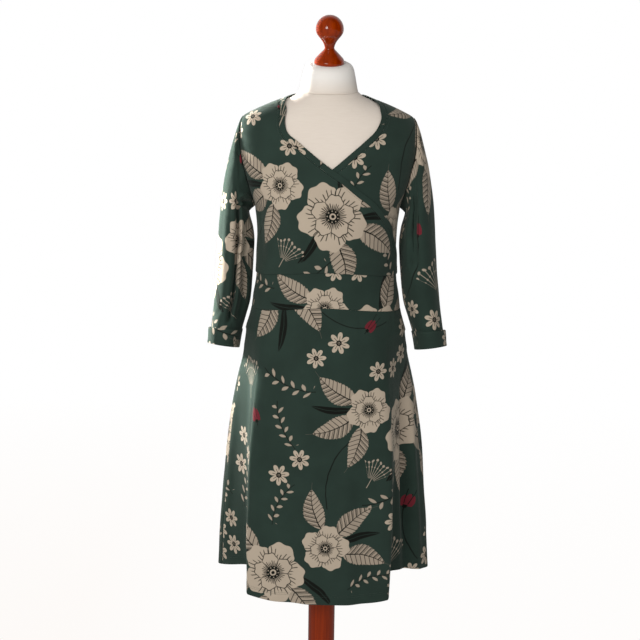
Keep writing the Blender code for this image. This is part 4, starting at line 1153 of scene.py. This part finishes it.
def stitch_tree():
    """Geometry nodes that sew a row of stitches along a line of points."""
    tree = bpy.data.node_groups.new("Row of stitches", "GeometryNodeTree")
    kinds = {"Line": "Geometry", **dict.fromkeys(STITCH_SIZES, "Float"), "Thread": "Material"}
    for name, kind in kinds.items():
        tree.interface.new_socket(name, in_out="INPUT", socket_type="NodeSocket" + kind)
    tree.interface.new_socket("Stitches", in_out="OUTPUT", socket_type="NodeSocketGeometry")
    given = add(tree, "NodeGroupInput").outputs
    curve = add(tree, "GeometryNodeMeshToCurve", {0: given["Line"]}).outputs[0]
    spaced = {"Curve": curve, "Length": given["Pitch"]}
    spots = add(tree, "GeometryNodeResampleCurve", spaced, mode="LENGTH").outputs[0]
    ball = add(tree, "GeometryNodeMeshUVSphere", {"Segments": 6, "Rings": 4, "Radius": 0.5}).outputs[0]
    length, width = given["Stitch length"], given["Thread width"]
    size = add(tree, "ShaderNodeCombineXYZ", {0: length, 1: width, 2: width}).outputs[0]
    tangent = add(tree, "GeometryNodeInputTangent").outputs[0]
    heading = add(tree, "FunctionNodeAlignRotationToVector", {"Vector": tangent}, axis="X").outputs[0]
    inputs = {"Points": spots, "Instance": ball, "Rotation": heading, "Scale": size}
    sewn_on = add(tree, "GeometryNodeInstanceOnPoints", inputs).outputs[0]
    real = add(tree, "GeometryNodeRealizeInstances", {0: sewn_on}).outputs[0]
    coloured = add(tree, "GeometryNodeSetMaterial", {"Geometry": real, "Material": given["Thread"]})
    add(tree, "NodeGroupOutput", {0: coloured.outputs[0]})
    return tree


STITCHES = stitch_tree()


def stitch_rows(name, lines):
    """The stitches along several lines of points, as one mesh."""
    points = [tuple(point) for line in lines for point in line]
    edges, first = [], 0
    for line in lines:
        edges += [(k, k + 1) for k in range(first, first + len(line) - 1)]
        first += len(line)
    mesh = bpy.data.meshes.new(name)
    mesh.from_pydata(points, edges, [])
    line = finished(name + "_line", mesh, SEWING_THREAD)
    sewing = line.modifiers.new("Row of stitches", "NODES")
    sewing.node_group = STITCHES
    inputs = {**STITCH_SIZES, "Thread": SEWING_THREAD}
    for socket in STITCHES.interface.items_tree:
        if socket.name in inputs:
            sewing[socket.identifier] = inputs[socket.name]
    bpy.context.view_layer.update()
    seen = line.evaluated_get(bpy.context.evaluated_depsgraph_get())
    made = bpy.data.meshes.new_from_object(seen)
    bpy.data.objects.remove(line)
    return ridden(name, made, SEWING_THREAD, "printed_jersey")


def along_face(name, gap, edge):
    """The line on a piece's outer face at a distance from one of its edges."""
    base, out = WRAPPED[name][:2]
    gaps = from_edges(base)[edge]
    if edge in (FOOT, TOP):
        gaps, base, out = gaps.T, base.transpose(1, 0, 2), out.transpose(1, 0, 2)
    if edge in (TOP, RIGHT):
        gaps, base, out = gaps[:, ::-1], base[:, ::-1], out[:, ::-1]
    face = base + out * (CLOTH + THREAD_SHOWS)
    return np.array([[np.interp(gap, row, part) for part in spots.T] for row, spots in zip(gaps, face)])


hems = [along_face(name, gap, FOOT) for name in ("skirt_front", "skirt_back") for gap in HEM_ROWS]
necklines = [
    along_face("bodice_front_over", NECK_ROW, RIGHT)[14:],
    along_face("bodice_front_under", NECK_ROW, LEFT)[40:],
    along_face("bodice_back", NECK_ROW, TOP)[28:-28],
]
SEWN_ON = {
    "skirt_front": stitch_rows("hem_stitches", hems),
    "bodice_front_over": stitch_rows("neckline_stitches", necklines),
    "cuff_right": stitch_rows("cuff_right_stitches", [along_face("cuff_right", CUFF_ROW, TOP)]),
    "cuff_left": stitch_rows("cuff_left_stitches", [along_face("cuff_left", CUFF_ROW, TOP)]),
}

# ---------------------------------------------------------------- the stand

AROUND = np.arange(96) * 360.0 / 96
PROFILE_STEPS = 6  # between two points of a turned profile
BEVEL = 0.002
FOOT_INSET = 0.012
SEAM_TUCK = 0.0010  # the form's cover turns in this much more along the neck's seam
TILT_STARTS = 1.340  # up to here the torso's sections are level


def form_point(turn, height, slope):
    """The form's surface where it meets a plane that rises by slope towards the back."""
    y = 0.0
    for _ in range(12):
        radius = reach(FORM, turn, height + slope * y)
        y = -radius * np.cos(np.radians(turn))
    return about_pole(radius, turn, height + slope * y)


def form_ring(height, slope, inset=FORM_CLEARANCE, level=True):
    """A ring of the form, set in from the cloth: kept in its plane, or along the surface's facing."""
    here = form_point(AROUND, height, slope)
    if level:
        flat = here[:, :2] * (1 - inset / np.hypot(here[:, 0], here[:, 1]))[:, None]
        return np.concatenate([flat, height + slope * flat[:, 1:]], 1)
    return here - facing(partial(form_point, slope=slope), AROUND, height, 0.5, 0.0005) * inset


def stack(name, rings, material, slot):
    """A closed solid through rings of points, the lowest first, each running anticlockwise from above."""
    rings = np.array(rings)
    rows, count = rings.shape[:2]
    place = np.arange(rows * count).reshape(rows, count)
    after = np.roll(place, -1, 1)
    squares = squares_of(place, after)
    caps = [(after[0, k], place[0, k], rows * count) for k in range(count)]
    caps += [(place[-1, k], after[-1, k], rows * count + 1) for k in range(count)]
    points = np.concatenate([rings.reshape(-1, 3), rings[[0, -1]].mean(1)])
    mesh = solid(name, points, squares.tolist() + [tuple(map(int, cap)) for cap in caps], 35)
    return ridden(name + "_shown", mesh, material, slot, name)


def turned(name, profile, foot, slope=0.0):
    """A solid turned about the pole's axis, or about one that leans to stand square on a slope at its foot.

    Its profile is drawn as a smooth line through its points.
    """
    path = travelled(np.transpose(profile))
    last = len(path) - 1
    steps = np.interp(np.linspace(0, last, PROFILE_STEPS * last + 1), range(last + 1), path)
    radius, height = (smooth(path, part, steps)[:, None] for part in profile)
    x, y, z = np.moveaxis(about_pole(radius, AROUND, height), -1, 0)
    cosine, sine = math.cos(math.atan(slope)), math.sin(math.atan(slope))
    rings = joined(x, y * cosine - z * sine, foot + y * sine + z * cosine)
    stack(name, rings, STAINED_WOOD, "stained_wood")


def torso():
    """The torso, whose sections tilt more and more towards the neck's sloping seam."""
    rings = [form_ring(TORSO_FOOT, 0.0, FOOT_INSET)]
    for height in np.linspace(0.823, 1.474, 66):
        slope = NECK_SEAM_SLOPE * float(ease((height - TILT_STARTS) / (NECK_SEAM - TILT_STARTS)))
        rings.append(form_ring(height, slope, level=False))
    rings.append(form_ring(NECK_SEAM - 0.0012, NECK_SEAM_SLOPE))
    rings.append(form_ring(NECK_SEAM, NECK_SEAM_SLOPE, FORM_CLEARANCE + SEAM_TUCK))
    stack("form_torso", rings, FORM_COVER, "form_cover")


def neck():
    """The neck, whose sections tilt more and more towards its sloping top."""
    foot = NECK_SEAM + SEAM_GAP * 1.2
    rings = []
    for height in (foot, *np.linspace(foot + 0.0012, NECK_TOP, 34)):
        share = float(ease((height - foot) / (NECK_TOP - foot)))
        tuck = SEAM_TUCK if height == foot else 0.0
        ring = form_ring(height, NECK_SEAM_SLOPE * (1 - share), FORM_CLEARANCE + tuck)
        ring[:, 2] = height + mix(NECK_SEAM_SLOPE, NECK_TOP_SLOPE, share) * ring[:, 1]
        rings.append(ring)
    stack("form_neck", rings, FORM_COVER, "form_cover")


def finial():
    """The turned foot and neck of the finial, and the ball above them."""
    angles = np.radians(np.linspace(-2.0, 86.0, 8))
    radius, height = FINIAL_BALL_RADIUS * np.cos(angles), FINIAL_BALL_RADIUS * np.sin(angles)
    height += FINIAL_HEIGHT - FINIAL_BALL_RADIUS
    profile = np.append(FINIAL, [radius, height], 1)
    turned("finial", profile, NECK_TOP + SEAM_GAP * 1.1, NECK_TOP_SLOPE)


def pole():
    boss_top = BASE.height[-1]
    top = TORSO_FOOT - boss_top - 2 * SEAM_GAP
    radius = POLE_RADIUS - np.array([BEVEL, 0.0, 0.0, BEVEL])
    turned("pole", [radius, np.array([0.0, BEVEL, top - BEVEL, top])], boss_top + SEAM_GAP)


torso()
neck()
finial()
pole()
turned("base", BASE, 0.0)

# ---------------------------------------------------------------- floor, light and camera

LENS_MM, SENSOR_MM = 60.36, 36.0
CAMERA_SPOT = (-0.0116, -2.1558, 1.4586)
CAMERA_LOOKS_DOWN, CAMERA_LEANS = 11.5, 0.75


def floor():
    mesh = bpy.data.meshes.new("floor")
    corners = [(-9.0, -9.0, 0.0), (9.0, -9.0, 0.0), (9.0, 9.0, 0.0), (-9.0, 9.0, 0.0)]
    mesh.from_pydata(corners, [], [(0, 1, 2, 3)])
    finished("floor", mesh, PALE_FLOOR)


def soft_light(name, spot, aim, size, power, colour, shines_back=True, cone=180.0):
    light = bpy.data.lights.new(name, "AREA")
    light.shape, light.size, light.energy, light.color = "DISK", size, power, colour
    light.spread = math.radians(cone)
    made = placed_in_scene(name, light)
    made.location = spot
    made.visible_glossy = shines_back
    made.rotation_euler = (Vector(aim) - Vector(spot)).to_track_quat("-Z", "Y").to_euler()


def studio():
    world = bpy.data.worlds.new("studio")
    world.use_nodes = True
    tree = world.node_tree
    tree.nodes.clear()
    path = add(tree, "ShaderNodeLightPath").outputs
    heading = add(tree, "ShaderNodeTexCoord").outputs["Generated"]
    x, y = add(tree, "ShaderNodeSeparateXYZ", {0: heading}).outputs[:2]
    # The sweep behind is white in reflections, and the room in front is dark, more so on the right.
    steps = """
        sweep = 0.05 + 0.85 * least(most(y * 2.0, 0.0), 1.0) - 0.38
        room = 0.38 - 0.20 * most(x, 0.0)
        strength = most(room, seen) + mirrored * sweep
    """
    known = {"seen": path["Is Camera Ray"], "mirrored": path["Is Glossy Ray"], "x": x, "y": y}
    strength = worked_out(tree, steps, **known)["strength"]
    light = add(tree, "ShaderNodeBackground", {"Color": "#ffffff", "Strength": strength})
    add(tree, "ShaderNodeOutputWorld", {"Surface": light.outputs[0]})
    bpy.context.scene.world = world
    soft_light("front_key", (-1.2, -2.6, 1.9), (0.0, 0.0, 1.2), 1.1, 34.0, (1.0, 0.985, 0.96))
    soft_light("front_fill", (0.25, -2.9, 1.7), (0.0, 0.0, 1.05), 1.6, 14.5, (1.0, 0.98, 0.95), False)
    soft_light("left_rim", (-2.0, 1.5, 1.7), (-0.24, 0.0, 1.24), 0.7, 14.0, (1.0, 0.99, 0.97), False, 24.0)
    bpy.context.scene.view_settings.view_transform = "Standard"


def camera():
    lens = bpy.data.cameras.new("camera")
    lens.lens, lens.sensor_width = LENS_MM, SENSOR_MM
    made = placed_in_scene("camera", lens)
    look_down = Matrix.Rotation(math.radians(90.0 - CAMERA_LOOKS_DOWN), 4, "X")
    lean = Matrix.Rotation(math.radians(CAMERA_LEANS), 4, "Z")
    made.matrix_world = Matrix.Translation(CAMERA_SPOT) @ look_down @ lean
    bpy.context.scene.camera = made


floor()
studio()
camera()
